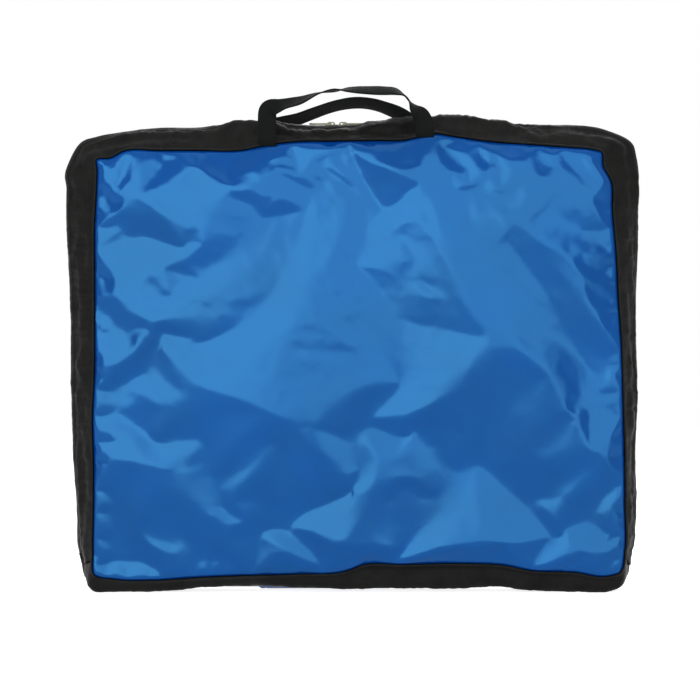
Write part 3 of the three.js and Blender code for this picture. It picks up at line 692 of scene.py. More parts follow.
def grid(columns, rows):
    """A bmesh grid of columns by rows faces, and its vertices as [column][row]."""
    form = bmesh.new()
    bmesh.ops.create_grid(form, x_segments=columns, y_segments=rows, size=1)
    ordered = sorted(form.verts, key=lambda v: (round(v.co.x, 5), round(v.co.y, 5)))
    form.verts.ensure_lookup_table()
    return form, [ordered[i * (rows + 1):(i + 1) * (rows + 1)] for i in range(columns + 1)]


def lay_uv(form, flat):
    """Gives each vertex its place on the flat cloth, in metres."""
    layer = form.loops.layers.uv.new("Flat")
    for face in form.faces:
        for loop in face.loops:
            loop[layer].uv = flat[loop.vert]


def apply_modifiers(piece):
    """Applies what modifiers the piece has."""
    graph = bpy.context.evaluated_depsgraph_get()
    made = bpy.data.meshes.new_from_object(piece.evaluated_get(graph))
    old, piece.data = piece.data, made
    piece.modifiers.clear()
    bpy.data.meshes.remove(old)


def thicken(piece, thickness, offset=-1):
    """Gives a sheet its thickness in millimetres: inwards at -1, to both sides at 0."""
    thick = piece.modifiers.new("Thickness", "SOLIDIFY")
    thick.thickness = thickness * MM
    thick.offset = offset
    apply_modifiers(piece)


# How a face's cloth settles: for how many frames, how stiff it is, and the most it moves in metres
SETTLING_FRAMES, STIFFNESS, BENDING, MOST_SETTLING = 18, 25.0, 3.0, 0.008


def settled(form, slack):
    """How far each vertex of a cloth moves as it settles between its seams, in metres.

    The cloth's rim stays where it is."""
    piece = placed_form("settling", form)
    mesh = piece.data
    seam = piece.vertex_groups.new(name="seam")
    seam.add([v.index for v in form.verts if v.is_boundary], 1.0, "REPLACE")
    start = np.empty(len(mesh.vertices) * 3)
    mesh.vertices.foreach_get("co", start)
    cloth = piece.modifiers.new("Cloth", "CLOTH")
    settings = cloth.settings
    settings.quality = 5
    settings.mass = 0.12
    settings.tension_stiffness = settings.compression_stiffness = STIFFNESS
    settings.shear_stiffness = STIFFNESS / 3
    settings.bending_stiffness = BENDING
    settings.vertex_group_mass = "seam"
    settings.shrink_min = -slack
    settings.use_pressure = True
    settings.uniform_pressure_force = 0.0
    settings.effector_weights.gravity = 0.0
    cloth.collision_settings.use_collision = False
    cloth.point_cache.frame_start, cloth.point_cache.frame_end = 1, SETTLING_FRAMES
    scene = bpy.context.scene
    for number in range(1, SETTLING_FRAMES + 1):
        scene.frame_set(number)
    apply_modifiers(piece)
    scene.frame_set(1)
    end = np.empty_like(start)
    piece.data.vertices.foreach_get("co", end)
    bpy.data.objects.remove(piece)
    moved = (end - start).reshape(-1, 3)
    reach = np.linalg.norm(moved, axis=1, keepdims=True)
    return moved * np.minimum(1, MOST_SETTLING / np.maximum(reach, 1e-9))


def wave(seed, *parts):
    """Smooth noise from -1 to 1."""
    return noise.noise(Vector((*parts, *(0,) * (3 - len(parts)))) + Vector((seed, seed, seed)))


def between(values, factor):
    """A grid of rows of numbers with more steps between its own."""
    for axis in (0, 1):
        count = values.shape[axis]
        steps = np.linspace(0, count - 1, (count - 1) * factor + 1)
        low = np.minimum(steps.astype(int), count - 2)
        share = (steps - low).reshape([-1 if a == axis else 1 for a in range(3)])
        values = np.take(values, low, axis) * (1 - share) + np.take(values, low + 1, axis) * share
    return values


# Millimetres over which the tuck beside the seam fades, and over which the highest folds level off
TUCK_FADE, FOLD_ROUNDING = 4.0, 2.0
CRINKLE_SEEDS = {FRONT: 3, REAR: 8}


def panel_points(side, columns, rows):
    """The places of a panel's grid of points in millimetres, as [column][row][x, y, z]."""
    bag = bpy.context.scene.roundnet_bag
    u, v = (a.ravel() for a in np.meshgrid(
        np.linspace(0, 1, columns + 1), np.linspace(0, 1, rows + 1), indexing="ij"))
    flat = panel_outline(u, v)
    x, z = (flat[:, i].reshape(columns + 1, rows + 1) for i in (0, 1))
    rise = face_rise(x, z, bag.panel_bulge / MM)
    folds = relief(side * -x, z, rise) * bag.fold_depth
    rim = np.minimum(np.minimum(u, 1 - u) * PANEL_FLAT[0],
                     np.minimum(v, 1 - v) * PANEL_FLAT[1]).reshape(x.shape)
    small = crinkles(x, z, CRINKLE_SEEDS[side])
    out = rise + folds + small - bag.seam_tuck / MM * np.exp(-rim / TUCK_FADE)
    return np.stack((x, side * (PANEL_DEPTH + out), z), axis=-1)


def crinkles(x, z, seed):
    """Small sharp creases in millimetres: most near the top and the sides, few lower down."""
    height = np.empty(x.shape)
    for (i, j), across in np.ndenumerate(x):
        up = z[i, j]
        height[i, j] = (
            0.75 * (0.2 - abs(wave(seed, across / 46, up / 38)))
            + 0.4 * (0.2 - abs(wave(seed + 5, across / 19 + up / 60, up / 23)))
        )
    calm = np.clip((z - 150) / 220, 0, 1) * 0.6 + np.clip((abs(x) - 190) / 90, 0, 1) * 0.3 + 0.25
    return height * np.minimum(1, calm)


def cloth_grid(points, side):
    """A bmesh grid laid over points in millimetres, with its flat layout in metres as UV."""
    columns, rows = points.shape[0] - 1, points.shape[1] - 1
    form, at = grid(columns, rows)
    flat = {}
    for i in range(columns + 1):
        for j in range(rows + 1):
            at[i][j].co = Vector(points[i, j]) * MM
            flat[at[i][j]] = (points[i, j, 0] * MM, points[i, j, 2] * MM)
    lay_uv(form, flat)
    if side == REAR:
        bmesh.ops.reverse_faces(form, faces=form.faces)
    return form, at


def panel(name, side, slot, body, node, columns, rows):
    """One face of the bag as a crumpled sheet, sewn in at its seam."""
    bag = bpy.context.scene.roundnet_bag
    points = panel_points(side, columns * 2, rows * 2)
    coarse, at = cloth_grid(panel_points(side, columns, rows), side)
    coarse.verts.index_update()
    moved = settled(coarse, bag.cloth_slack)
    moved = moved[np.array([[vert.index for vert in column] for column in at])]
    moved -= blurred(moved, BROAD_PASSES) * BROAD_SHARE
    points += between(moved, 2) / MM
    coarse.free()
    out = points[..., 1] * side - PANEL_DEPTH - HIGHEST_FOLD + FOLD_ROUNDING
    levelled = FOLD_ROUNDING * np.tanh(out / FOLD_ROUNDING)
    points[..., 1] -= side * np.where(out > 0, out - levelled, 0)
    form, _ = cloth_grid(points, side)
    piece = piece_from(name, form, slot, body, (node,))
    thicken(piece, CLOTH_THICKNESS)
    return piece


# ---- Gusset -------------------------------------------------------------------------------------

# The hump in front of the zip where the gusset bunches up above the zip's line: how far it reaches
# from the zip's edge, what share of the drop to the seam it adds, and the bunching that makes it full
HUMP_REACH, HUMP_SHARE, FULL_BUNCH = 18.0, 0.17, 4.0
LOWEST = 0.4  # no cloth of the gusset lies lower than this over the floor


def gusset_place(row, depth):
    """Where the gusset lies at a depth from the middle, as x and z in millimetres."""
    depth = clamped(depth, -SEAM_DEPTH, SEAM_DEPTH)
    flat_half = level_half(row)
    share = max(0.0, (abs(depth) - flat_half) / (SEAM_DEPTH - flat_half)) ** GUSSET_BOW
    seam_x, seam_z, crown_x, crown_z = row
    bunched = max(0.0, crown_z - ZIP_LINE)
    low_z = crown_z - bunched
    z = low_z + (seam_z - low_z) * share
    if depth < 0 and bunched:
        hump = math.sin(math.pi * clamped((-depth - ZIP_EDGE_DEPTH) / HUMP_REACH))
        z += (bunched + (low_z - seam_z) * HUMP_SHARE) * hump * min(1.0, bunched / FULL_BUNCH)
    return crown_x + (seam_x - crown_x) * share, z


def level_half(row):
    """Half the depth over which the gusset is level: wide at the base, narrow at the zip."""
    share = clamped((row[3] - BASE_LEVEL_HEIGHT) / (ZIP_END_HEIGHT - BASE_LEVEL_HEIGHT))
    return BASE_HALF_WIDTH + (CROWN_HALF_WIDTH - BASE_HALF_WIDTH) * share


def outwards(row):
    away = Vector((row[2] - row[0], 0, row[3] - row[1]))
    return away.normalized()


# The gusset's rolled edge beside the seam, as (depth, how far in over the panel) in millimetres
ROLLED_SEAM = ((35.6, 0.4), (37.0, 0.3), (37.9, -0.4), (38.0, -1.2), (37.2, -2.0), (36.0, -2.0))

# The hem beside the zip, as (depth, how far it lies below the gusset's face)
ZIP_HEM = ((16.0, 0.1), (15.2, -0.5), (14.0, -0.9), (12.0, -0.8), (10.2, -0.9), (9.0, -0.4))

# Cross sections that lie under the gusset: (depth, how far below its face)
ZIP_TAPE = ((15.0, 1.7), (11.0, 1.7), (7.0, 1.6), (4.2, 1.5), (3.7, 0.9), (3.0, 0.45), (2.2, 0.35),
            (1.5, 0.5), (1.1, 0.9), (1.0, 1.5))
SEAM_BINDING = ((34.2, 1.8), (33.6, 3.0), (33.6, 7.0), (33.0, 7.8), (32.2, 7.0), (32.4, 2.4))


def crumple(distance, depth, seed):
    """How far crumpled nylon stands out, in millimetres: long ridges, small creases and pleats."""
    ridges = 1.5 * wave(seed, distance * 0.012, depth * 0.14)
    creases = 1.4 * wave(seed + 7, distance * 0.05, depth * 0.1)
    sharp = 1.6 * (0.25 - abs(wave(seed + 13, distance * 0.035 + depth * 0.02, depth * 0.08)))
    puckers = 0.8 * wave(seed + 17, distance * 0.2, depth * 0.05)
    return ridges + creases + sharp + puckers


def strip(name, slot, body, node, start, end, profile, columns, thickness=CLOTH_THICKNESS,
          folds=0.0, seed=0):
    """A length of gusset, tape or binding between two distances along the edge."""
    closed = end - start > edge.length - 1
    form, at = grid(columns, len(profile) - 1)
    distances = np.linspace(start, end, columns + 1)
    flat = {}
    for i, (distance, row) in enumerate(zip(distances, edge.at(distances))):
        away = outwards(row)
        for j, (depth, inset) in enumerate(profile):
            x, z = gusset_place(row, depth)
            lift = -inset
            if folds:
                across = (abs(depth) - ZIP_EDGE_DEPTH) / (SEAM_DEPTH - ZIP_EDGE_DEPTH)
                free = math.sin(math.pi * clamped(across)) ** 0.7
                lift += folds * free * crumple(distance, depth, seed)
            point = Vector((x, depth, z)) + away * lift
            point.z = max(point.z, LOWEST)
            vert = at[i][j]
            vert.co = point * MM
            flat[vert] = (distance * MM, depth * MM)
    lay_uv(form, flat)
    if closed:
        bmesh.ops.remove_doubles(form, verts=form.verts, dist=MERGE_DISTANCE)
    bmesh.ops.recalc_face_normals(form, faces=form.faces)
    middle = Vector((0, 0, BAG_HEIGHT / 2 * MM))
    outside = sum(f.normal.dot((f.calc_center_median() - middle) * Vector((1, 0, 1)))
                  for f in form.faces)
    if outside < 0:
        bmesh.ops.reverse_faces(form, faces=form.faces)
    piece = piece_from(name, form, slot, body, (node,))
    thicken(piece, thickness)
    return piece


def zip_teeth(name, side, body):
    """The coil's teeth along one half of the zip."""
    pitch, reach, width, height = 2.4, 3.7, 1.25, 1.3
    overlap, sunk, rounding = 1.1, 0.75, 0.35
    count = int((ZIP_RIGHT - ZIP_LEFT) / pitch)
    distances = ZIP_LEFT + (np.arange(count) + (0.25 if side == FRONT else 0.75)) * pitch
    form = bmesh.new()
    for row, ahead in zip(edge.at(distances), edge.at(distances + 1)):
        along = Vector((ahead[2] - row[2], 0, ahead[3] - row[3])).normalized()
        x, z = gusset_place(row, 0.0)
        middle = Vector((x, side * (reach / 2 - overlap), z)) - outwards(row) * sunk
        out = along.cross(Vector((0, 1, 0)))
        size = Matrix.Diagonal((width * MM, reach * MM, height * MM, 1))
        turn = Matrix((along, (0, 1, 0), out)).transposed().to_4x4()
        made = bmesh.ops.create_cube(form, size=1,
                                     matrix=Matrix.Translation(middle * MM) @ turn @ size)
        bmesh.ops.bevel(form, geom=list({e for v in made["verts"] for e in v.link_edges
                                         if abs((e.verts[0].co - e.verts[1].co).y) > 1e-4}),
                        offset=rounding * MM, segments=1, profile=0.5, affect="EDGES", material=-1)
    bmesh.ops.recalc_face_normals(form, faces=form.faces)
    return piece_from(name, form, "zip_tape", body, smooth=False)


def declare_strip(start, end, profile):
    """Works out where a profile's depths lie along a length of gusset, and keeps none of it."""
    steps, width_every = 1500, 50
    rows = edge.at(np.linspace(start, end, steps))
    for row in rows[::width_every]:
        places = [(depth, *gusset_place(row, depth)) for depth, _ in profile]


def spaced(start, end, count):
    return [start + (end - start) * i / count for i in range(count + 1)]


# ---- Handles ------------------------------------------------------------------------------------

WEBBING_THICKNESS = 1.6

# A handle's middle line as (x, y, z, turn): in millimetres, and degrees from facing the front
FRONT_HANDLE = (
    (-93.0, -36.4, 487.0, 0), (-93.0, -40.3, 493.5, 0), (-93.0, -41.0, 500.0, 0),
    (-93.0, -41.0, 514.0, 0), (-91.4, -41.0, 526.0, 10), (-78.9, -41.0, 530.8, 45),
    (-57.1, -41.0, 536.1, 62), (-33.2, -41.0, 545.0, 85), (-19.1, -41.0, 547.4, 92),
    (-6.0, -41.0, 548.2, 74), (15.7, -41.0, 547.8, 62), (34.2, -41.0, 547.2, 60),
    (47.3, -41.0, 546.1, 66), (57.1, -41.0, 541.2, 86), (62.5, -41.0, 534.7, 84),
    (66.8, -41.0, 528.1, 60), (74.4, -41.0, 519.4, 20), (78.3, -41.0, 508.6, 0),
    (78.7, -40.3, 502.6, 0), (78.8, -36.4, 496.4, 0),
)
REAR_HANDLE = (
    (-98.8, 36.4, 487.4, 0), (-98.5, 40.3, 493.5, 0), (-97.7, 42.0, 501.9, 0),
    (-90.0, 46.0, 513.4, 20), (-77.8, 50.0, 519.3, 45), (-63.3, 54.0, 523.6, 55),
    (-47.7, 57.0, 529.5, 58), (-30.9, 60.0, 535.9, 60), (-14.0, 62.0, 540.6, 60),
    (2.9, 63.0, 542.9, 58), (19.7, 62.0, 541.7, 58), (37.7, 59.0, 536.4, 55),
    (52.2, 55.0, 529.8, 45), (62.2, 50.0, 520.4, 20), (66.6, 44.0, 506.5, 0),
    (66.5, 41.0, 498.5, 0), (66.5, 36.4, 492.0, 0),
)


def smooth_line(points, steps):
    """More rows along a line of rows, passing through each of them."""
    rows = np.array(points, float)
    gaps = np.linalg.norm(np.diff(rows[:, :3], axis=0), axis=1)
    starts = np.concatenate(([0], np.cumsum(gaps)))
    slopes = np.diff(rows, axis=0) / gaps[:, None]
    inner = (slopes[:-1] * gaps[1:, None] + slopes[1:] * gaps[:-1, None]) / (
        gaps[1:] + gaps[:-1])[:, None]
    tangents = np.vstack((slopes[:1], inner, slopes[-1:]))
    distances = np.linspace(0, starts[-1], steps + 1)
    i = np.clip(np.searchsorted(starts, distances, side="right") - 1, 0, len(gaps) - 1)
    t = ((distances - starts[i]) / gaps[i])[:, None]
    return distances, hermite(rows, tangents, i, i + 1, gaps[i][:, None], t)


def strap(name, side, line, body, node):
    """A webbing handle that twists along its middle line."""
    width = bpy.context.scene.roundnet_bag.webbing_width
    steps, across = 150, 12
    distances, rows = smooth_line(line, steps)
    form, at = grid(steps, across)
    flat = {}
    for i in range(steps + 1):
        here = Vector(rows[i][:3])
        ahead = Vector(rows[min(steps, i + 1)][:3]) - Vector(rows[max(0, i - 1)][:3])
        ahead.normalize()
        depth = Vector((0, 1, 0))
        flat_way = ahead.cross(depth).normalized()
        turn = math.radians(rows[i][3])
        reach = flat_way * math.cos(turn) + depth * math.sin(turn) * -side
        face = ahead.cross(reach).normalized()
        for j in range(across + 1):
            share = j / across * 2 - 1
            cup = 0.9 * (share * share - 0.4) * math.sin(distances[i] * 0.03)
            ripple = 0.35 * wave(3, distances[i] * 0.06, share)
            point = here + reach * (share * width / MM / 2) + face * (cup + ripple)
            vert = at[i][j]
            vert.co = point * MM
            flat[vert] = (distances[i] * MM, share * width / 2)
    lay_uv(form, flat)
    bmesh.ops.recalc_face_normals(form, faces=form.faces)
    piece = piece_from(name, form, "webbing", body, (node,))
    thicken(piece, WEBBING_THICKNESS, offset=0)


# ---- What the bag holds -------------------------------------------------------------------------

# Sizes and places after those of the solids, in millimetres, with the half angle in radians
RING_RADIUS, RING_TUBE = 434.0, 11.0
SECTION_HALF_ANGLE = 0.66288
SPIGOT_LENGTH, SPIGOT_RADIUS = 30.0, 8.7
SOCKET_DEPTH, SOCKET_RADIUS = 31.0, 9.0
LAYER_DEPTH, REAR_SECTIONS = 11.15, 3
LOWEST_CENTRE, NEST_PITCH = -331.118, 28.2915
LEG_TIP, LEG_CREST, LEG_HALF_SPREAD = 442.07, 642.07, 60.0
LEG_TUBE, LEG_BEND, PRONG_RADIUS, PRONG_LENGTH = 9.0, 35.0, 6.5, 26.0
# Each leg's depth, the height of the ring's centre it stands out from, and its lean in degrees
LEGS = ((LAYER_DEPTH, -274.535, 0), (LAYER_DEPTH, -274.535, -19), (LAYER_DEPTH, -274.535, 19),
        (-LAYER_DEPTH, -302.827, -9.5), (-LAYER_DEPTH, -302.827, 9.5))
BALL_PLACE, BALL_RADIUS, BALL_DEPTH, BALL_WALL = (224.1, -26.8, 376.3), 46.0, 26.0, 9.0
PUMP_PLACE = (-108.5, 0, 15.3)
NET_LOW, NET_HIGH = (-110.0, -20.0, 367.84), (110.0, 20.0, 451.84)
SHEET_LOW, SHEET_HIGH = (-226.4, 22.5, 2.4), (-78.5, 24.0, 212.3)

# How far a ball's rim is rounded in, the gap between two balls, and how thick the paper is
BALL_LIP, BALL_GAP, PAPER_THICKNESS = 1.6, 0.3, 0.2


def sharpen(form):
    """Marks the edges that a moulding leaves crisp."""
    least = math.radians(38)
    for line in form.edges:
        line.smooth = not (line.is_manifold and line.calc_face_angle(0) > least)


def tube(stations, segments):
    """A round bar through stations of (place, direction, radius) in millimetres."""
    form = bmesh.new()
    first = bmesh.ops.create_circle(form, segments=segments, radius=1, cap_ends=False)
    loop = list({line for vert in first["verts"] for line in vert.link_edges})
    verts = first["verts"]
    flat = {vert: vert.co.copy() for vert in verts}
    for number, (place, ahead, radius) in enumerate(stations):
        if number:
            made = bmesh.ops.extrude_edge_only(form, edges=loop)["geom"]
            new = [item for item in made if isinstance(item, bmesh.types.BMVert)]
            loop = [item for item in made if isinstance(item, bmesh.types.BMEdge)
                    and item.verts[0] in new and item.verts[1] in new]
            partner = {}
            for vert in new:
                old = next(line.other_vert(vert) for line in vert.link_edges
                           if line.other_vert(vert) in flat)
                partner[vert] = flat[old]
            verts, flat = new, partner
        up = Vector((0, 1, 0))
        aside = up.cross(ahead).normalized()
        for vert in verts:
            spot = flat[vert]
            vert.co = (Vector(place) + (aside * spot.x + up * spot.y) * radius) * MM
    bmesh.ops.holes_fill(form, edges=[line for line in form.edges if line.is_boundary])
    bmesh.ops.recalc_face_normals(form, faces=form.faces)
    sharpen(form)
    return form


def turned(outline, place, segments=40):
    """A piece turned about X from its outline of (distance, radius) in millimetres."""
    form = bmesh.new()
    verts = [form.verts.new(Vector((distance, 0, radius)) * MM) for distance, radius in outline]
    lines = [form.edges.new(pair) for pair in zip(verts, verts[1:])]
    bmesh.ops.spin(form, geom=verts + lines, cent=(0, 0, 0), axis=(1, 0, 0),
                   angle=2 * math.pi, steps=segments, use_merge=True)
    bmesh.ops.remove_doubles(form, verts=form.verts, dist=MERGE_DISTANCE)
    bmesh.ops.recalc_face_normals(form, faces=form.faces)
    bmesh.ops.translate(form, verts=form.verts, vec=Vector(place) * MM)
    sharpen(form)
    return form


def ring_section(number):
    """One bent tube of the ring, with its socket at the left and its spigot at the right."""
    rear = number < REAR_SECTIONS
    depth = LAYER_DEPTH if rear else -LAYER_DEPTH
    centre = LOWEST_CENTRE + number % REAR_SECTIONS * NEST_PITCH
    length = 2 * SECTION_HALF_ANGLE * RING_RADIUS
    tube_end = length - SPIGOT_LENGTH

    def station(distance, radius):
        angle = distance / RING_RADIUS - SECTION_HALF_ANGLE
        sin, cos = math.sin(angle), math.cos(angle)
        place = (RING_RADIUS * sin, depth, centre + RING_RADIUS * cos)
        return place, Vector((cos, 0, -sin)), radius

    body = [station(d, RING_TUBE) for d in spaced(1.0, tube_end - 1.0, 44)]
    rows = [station(SOCKET_DEPTH, 0.4), station(SOCKET_DEPTH, SOCKET_RADIUS),
            station(0.8, SOCKET_RADIUS), station(0, SOCKET_RADIUS + 0.7),
            station(0, RING_TUBE - 0.7), *body,
            station(tube_end, RING_TUBE - 0.8), station(tube_end, SPIGOT_RADIUS),
            station(length - 2.0, SPIGOT_RADIUS), station(length - 0.5, SPIGOT_RADIUS - 0.6),
            station(length, SPIGOT_RADIUS - 1.6), station(length, 4.0),
            station(length - 12, 4.0)]
    return tube(rows, 28)


def leg(depth, centre, lean):
    """One bent leg with the prongs that go into the ring."""
    bar = LEG_CREST - LEG_TUBE
    rows = [((-LEG_HALF_SPREAD, LEG_TIP + z), (0, 1), r) for z, r in (
        (0, 3.5), (0, PRONG_RADIUS - 1.5), (1.5, PRONG_RADIUS), (PRONG_LENGTH, PRONG_RADIUS),
        (PRONG_LENGTH, LEG_TUBE - 1), (PRONG_LENGTH + 1, LEG_TUBE))]
    for turn in spaced(180, 90, 10):
        turn = math.radians(turn)
        rows.append(((-LEG_HALF_SPREAD + LEG_BEND + LEG_BEND * math.cos(turn),
                      bar - LEG_BEND + LEG_BEND * math.sin(turn)),
                     (math.sin(turn), -math.cos(turn)), LEG_TUBE))
    rows += [((-x, z), (ahead, -rise), r) for (x, z), (ahead, rise), r in reversed(rows)]
    sin, cos = math.sin(math.radians(lean)), math.cos(math.radians(lean))
    return tube([((x * cos + z * sin, depth, centre - x * sin + z * cos),
                  Vector((ahead * cos + rise * sin, 0, rise * cos - ahead * sin)), radius)
                 for (x, z), (ahead, rise), radius in rows], 24)


def ball(number):
    """A soft ball packed flat: one half pushed into the other."""
    shift = number * (BALL_WALL + BALL_GAP)
    inner = BALL_RADIUS - BALL_LIP
    out = [(BALL_DEPTH * (r / BALL_RADIUS) ** 2.2, r)
           for r in (BALL_RADIUS * i / 14 for i in range(15))]
    lip = [(BALL_DEPTH + BALL_WALL / 2 - BALL_WALL / 2 * math.cos(a),
            inner + BALL_LIP * math.sin(a))
           for a in (math.pi * i / 8 for i in range(9))]
    outline = ([(x, r * inner / BALL_RADIUS) for x, r in out[:-1]] + lip
               + [(x + BALL_WALL, r * inner / BALL_RADIUS) for x, r in out[-2::-1]])
    form = turned(outline, (0, 0, 0), 56)
    turn = Matrix.Rotation(math.pi / 2, 4, "Z")
    bmesh.ops.transform(form, matrix=turn, verts=form.verts)
    x, y, z = BALL_PLACE
    bmesh.ops.translate(form, verts=form.verts, vec=Vector((x, y + shift, z)) * MM)
    return form


def net_bundle():
    """The net folded to a block of layers, softer at its corners."""
    low, high = Vector(NET_LOW), Vector(NET_HIGH)
    middle, size = (low + high) / 2, high - low
    form = bmesh.new()
    bmesh.ops.create_cube(form, size=1)
    bmesh.ops.scale(form, vec=(size - Vector((3, 3, 3))) * MM, verts=form.verts)
    bmesh.ops.bevel(form, geom=form.edges[:], offset=0.016, segments=6, profile=0.5,
                    affect="EDGES", material=-1)
    bmesh.ops.subdivide_edges(form, edges=[line for line in form.edges
                                           if line.calc_length() > 0.03], cuts=24,
                              use_grid_fill=True)
    form.normal_update()
    layers = 9
    flat = {}
    for vert in form.verts:
        x, y, z = vert.co / MM
        fold = math.cos(z / size.z * 2 * math.pi * layers + 1.5 * wave(5, x * 0.02))
        edge_share = max(abs(x) / (size.x / 2), abs(y) / (size.y / 2)) ** 6
        lumps = 1.4 * wave(9, x * 0.03, y * 0.05, z * 0.03)
        vert.co += vert.normal * (fold * 0.9 * edge_share + lumps - 1.2) * MM
        flat[vert] = ((x + y) * MM, (z + 0.3 * y) * MM)
    lay_uv(form, flat)
    bmesh.ops.translate(form, verts=form.verts, vec=middle * MM)
    return form


def grooves(start, pitch, count, radius, cut):
    """Part of a turned outline with grooves of the form cut, as (distance, radius)."""
    return [(start + i * pitch + along, radius - depth) for i in range(count)
            for along, depth in cut]


def barrel_outline():
    """The pump's hollow barrel, grooved for the grip."""
    grip = grooves(105, 3.5, 9, 13.0, ((0, 0), (0.5, 0.6), (1.4, 0.6), (1.9, 0)))
    return [(0, 1.5), (0, 6.6), (0.6, 7.3), (7.2, 12.5), (8.2, 13.0), (12, 13.0), (12.3, 12.6),
            (13.7, 12.6), (14, 13.0), *grip, (148.6, 13.0), (149.7, 12.5), (150, 11.6),
            (150, 3.4), (142, 3.4), (142, 11.0), (8, 11.0), (8, 1.5), (0, 1.5)]


def plunger_outline():
    """The pump's piston, rod and ribbed knob."""
    ribs = grooves(156.5, 2.4, 5, 12.0, ((0, 0), (0.4, 0.7), (1.2, 0.7), (1.6, 0)))
    return [(8.3, 0), (8.3, 10.0), (8.9, 10.6), (11.5, 10.6), (12, 9.8), (13, 9.8), (13.5, 10.6),
            (19.7, 10.6), (20.3, 10.0), (20.3, 3.0), (154, 3.0), (154, 10.8), (155.2, 12.0),
            *ribs, (168.8, 12.0), (170, 10.8), (170, 0)]


def needle_outline():
    """The needle with its screw end."""
    return [(-40.3, 0), (-40.3, 0.5), (-39.8, 0.95), (-38.5, 1.2), (-7.2, 1.2), (-6.3, 1.9),
            (-6.3, 3.1), (-5.9, 3.5), (-4.6, 3.5), (-4.3, 3.1), (-3.6, 3.1), (-3.3, 3.5),
            (-0.7, 3.5), (-0.3, 3.1), (-0.3, 1.2), (5, 1.2), (5, 0)]


def rules_leaf():
    """The rules sheet, folded once down its left side."""
    low, high = Vector(SHEET_LOW), Vector(SHEET_HIGH)
    half_leaf, fold = 0.15, 0.6
    back, front = high.y - half_leaf, low.y + half_leaf
    bend = [(low.x + fold - fold * math.sin(a), (back + front) / 2 + 0.5 * math.cos(a))
            for a in (math.pi * i / 8 for i in range(9))]
    profile = ([(high.x + (low.x + fold - high.x) * i / 12, back - half_leaf) for i in range(12)]
               + bend
               + [(low.x + fold + (high.x - low.x - fold) * i / 12, front + half_leaf)
                  for i in range(1, 13)])
    rows = 20
    form, at = grid(len(profile) - 1, rows)
    flat, along = {}, 0.0
    for i, (x, y) in enumerate(profile):
        along += math.dist(profile[i], profile[i - 1]) if i else 0.0
        for j in range(rows + 1):
            z = low.z + (high.z - low.z) * j / rows
            free = (x - low.x) / (high.x - low.x) * (j / rows)
            sway = 0.25 * math.sin(z * 0.03) * (1 if y < (back + front) / 2 else 0) * free
            at[i][j].co = Vector((x, y + sway, z)) * MM
            flat[at[i][j]] = (along * MM, z * MM)
    lay_uv(form, flat)
    bmesh.ops.recalc_face_normals(form, faces=form.faces)
    return form


# ---- Stage --------------------------------------------------------------------------------------

WHITE = (1, 1, 1, 1)
FLOOR_HALF_SIZE, FLOOR_GLOW = 6.0, 0.85

# The two front softboxes hang at the same height and distance, and look straight at the bag's plane
FRONT_LIGHT_TALL, FRONT_LIGHT_Y, FRONT_LIGHT_Z = 2.59, -3.3, 1.355
LIGHT_AIM = (0, 0, 0.27)
CAMERA_X = -2.75  # in millimetres
SENSOR_WIDTH = 36


def seen_rays(tree):
    """Adds nodes that give 1 for a ray that shows what it meets, and 0 for one that only lights."""
    rays = tree.nodes.new("ShaderNodeLightPath").outputs
    seen = rays["Is Camera Ray"]
    for ray in ("Is Glossy Ray", "Is Transmission Ray"):
        either = tree.nodes.new("ShaderNodeMath")
        either.operation = "MAXIMUM"
        tree.links.new(seen, either.inputs[0])
        tree.links.new(rays[ray], either.inputs[1])
        seen = either.outputs[0]
    return seen


def lay_floor():
    form = bmesh.new()
    bmesh.ops.create_grid(form, x_segments=1, y_segments=1, size=FLOOR_HALF_SIZE)
    floor = placed_form("floor", form)
    form.free()
    s = Shader("Pale floor", Base_Color=(0.82, 0.82, 0.82, 1), Roughness=0.8, Emission_Color=WHITE)
    s.wire(Emission_Strength=s.math("MULTIPLY", seen_rays(s.tree), FLOOR_GLOW))
    floor.data.materials.append(s.material)


def light_world():
    """A white surround, which lights the bag less than it shows."""
    scene = bpy.context.scene
    scene.world = bpy.data.worlds.new("Studio")
    scene.world.use_nodes = True
    tree = scene.world.node_tree
    back = tree.nodes["Background"]
    back.inputs["Color"].default_value = WHITE
    strength = tree.nodes.new("ShaderNodeMapRange")
    strength.inputs["To Min"].default_value = scene.roundnet_stage.surround
    strength.inputs["To Max"].default_value = 1.0
    tree.links.new(seen_rays(tree), strength.inputs["Value"])
    tree.links.new(strength.outputs["Result"], back.inputs["Strength"])


def hang_softboxes():
    stage = bpy.context.scene.roundnet_stage
    boxes = [
        ("Overhead softbox", 2.4, 2.4, stage.overhead_power, (0.3, -0.6, 3.2), LIGHT_AIM),
        ("Rear softbox", 1.8, 1.8, stage.rear_power, (0.4, 2.6, 2.3), LIGHT_AIM),
    ]
    for name, width, power, x in (("Left softbox", 2.5, stage.left_power, -1.35),
                                  ("Right softbox", 2.3, stage.right_power, 1.05)):
        boxes.append((name, width, FRONT_LIGHT_TALL, power, (x, FRONT_LIGHT_Y, FRONT_LIGHT_Z),
                      (x, 0, FRONT_LIGHT_Z)))
    for name, width, height, power, place, look in boxes:
        lamp = bpy.data.lights.new(name, "AREA")
        lamp.shape, lamp.energy = "RECTANGLE", power
        lamp.size, lamp.size_y = width, height
        softbox = placed(name, lamp)
        softbox.location = Vector(place)
        towards = Vector(look) - softbox.location
        softbox.rotation_euler = towards.to_track_quat("-Z", "Y").to_euler()


def set_camera():
    scene = bpy.context.scene
    stage = scene.roundnet_stage
    data = bpy.data.cameras.new("Camera")
    data.lens = stage.lens
    data.sensor_width = SENSOR_WIDTH
    scene.camera = placed("Camera", data)
    scene.camera.location = (CAMERA_X * MM, -stage.camera_distance, CAMERA_HEIGHT * MM)
    scene.camera.rotation_euler = (math.pi / 2, 0, 0)
    scene.view_settings.view_transform = "Standard"


# ---- Settings -----------------------------------------------------------------------------------


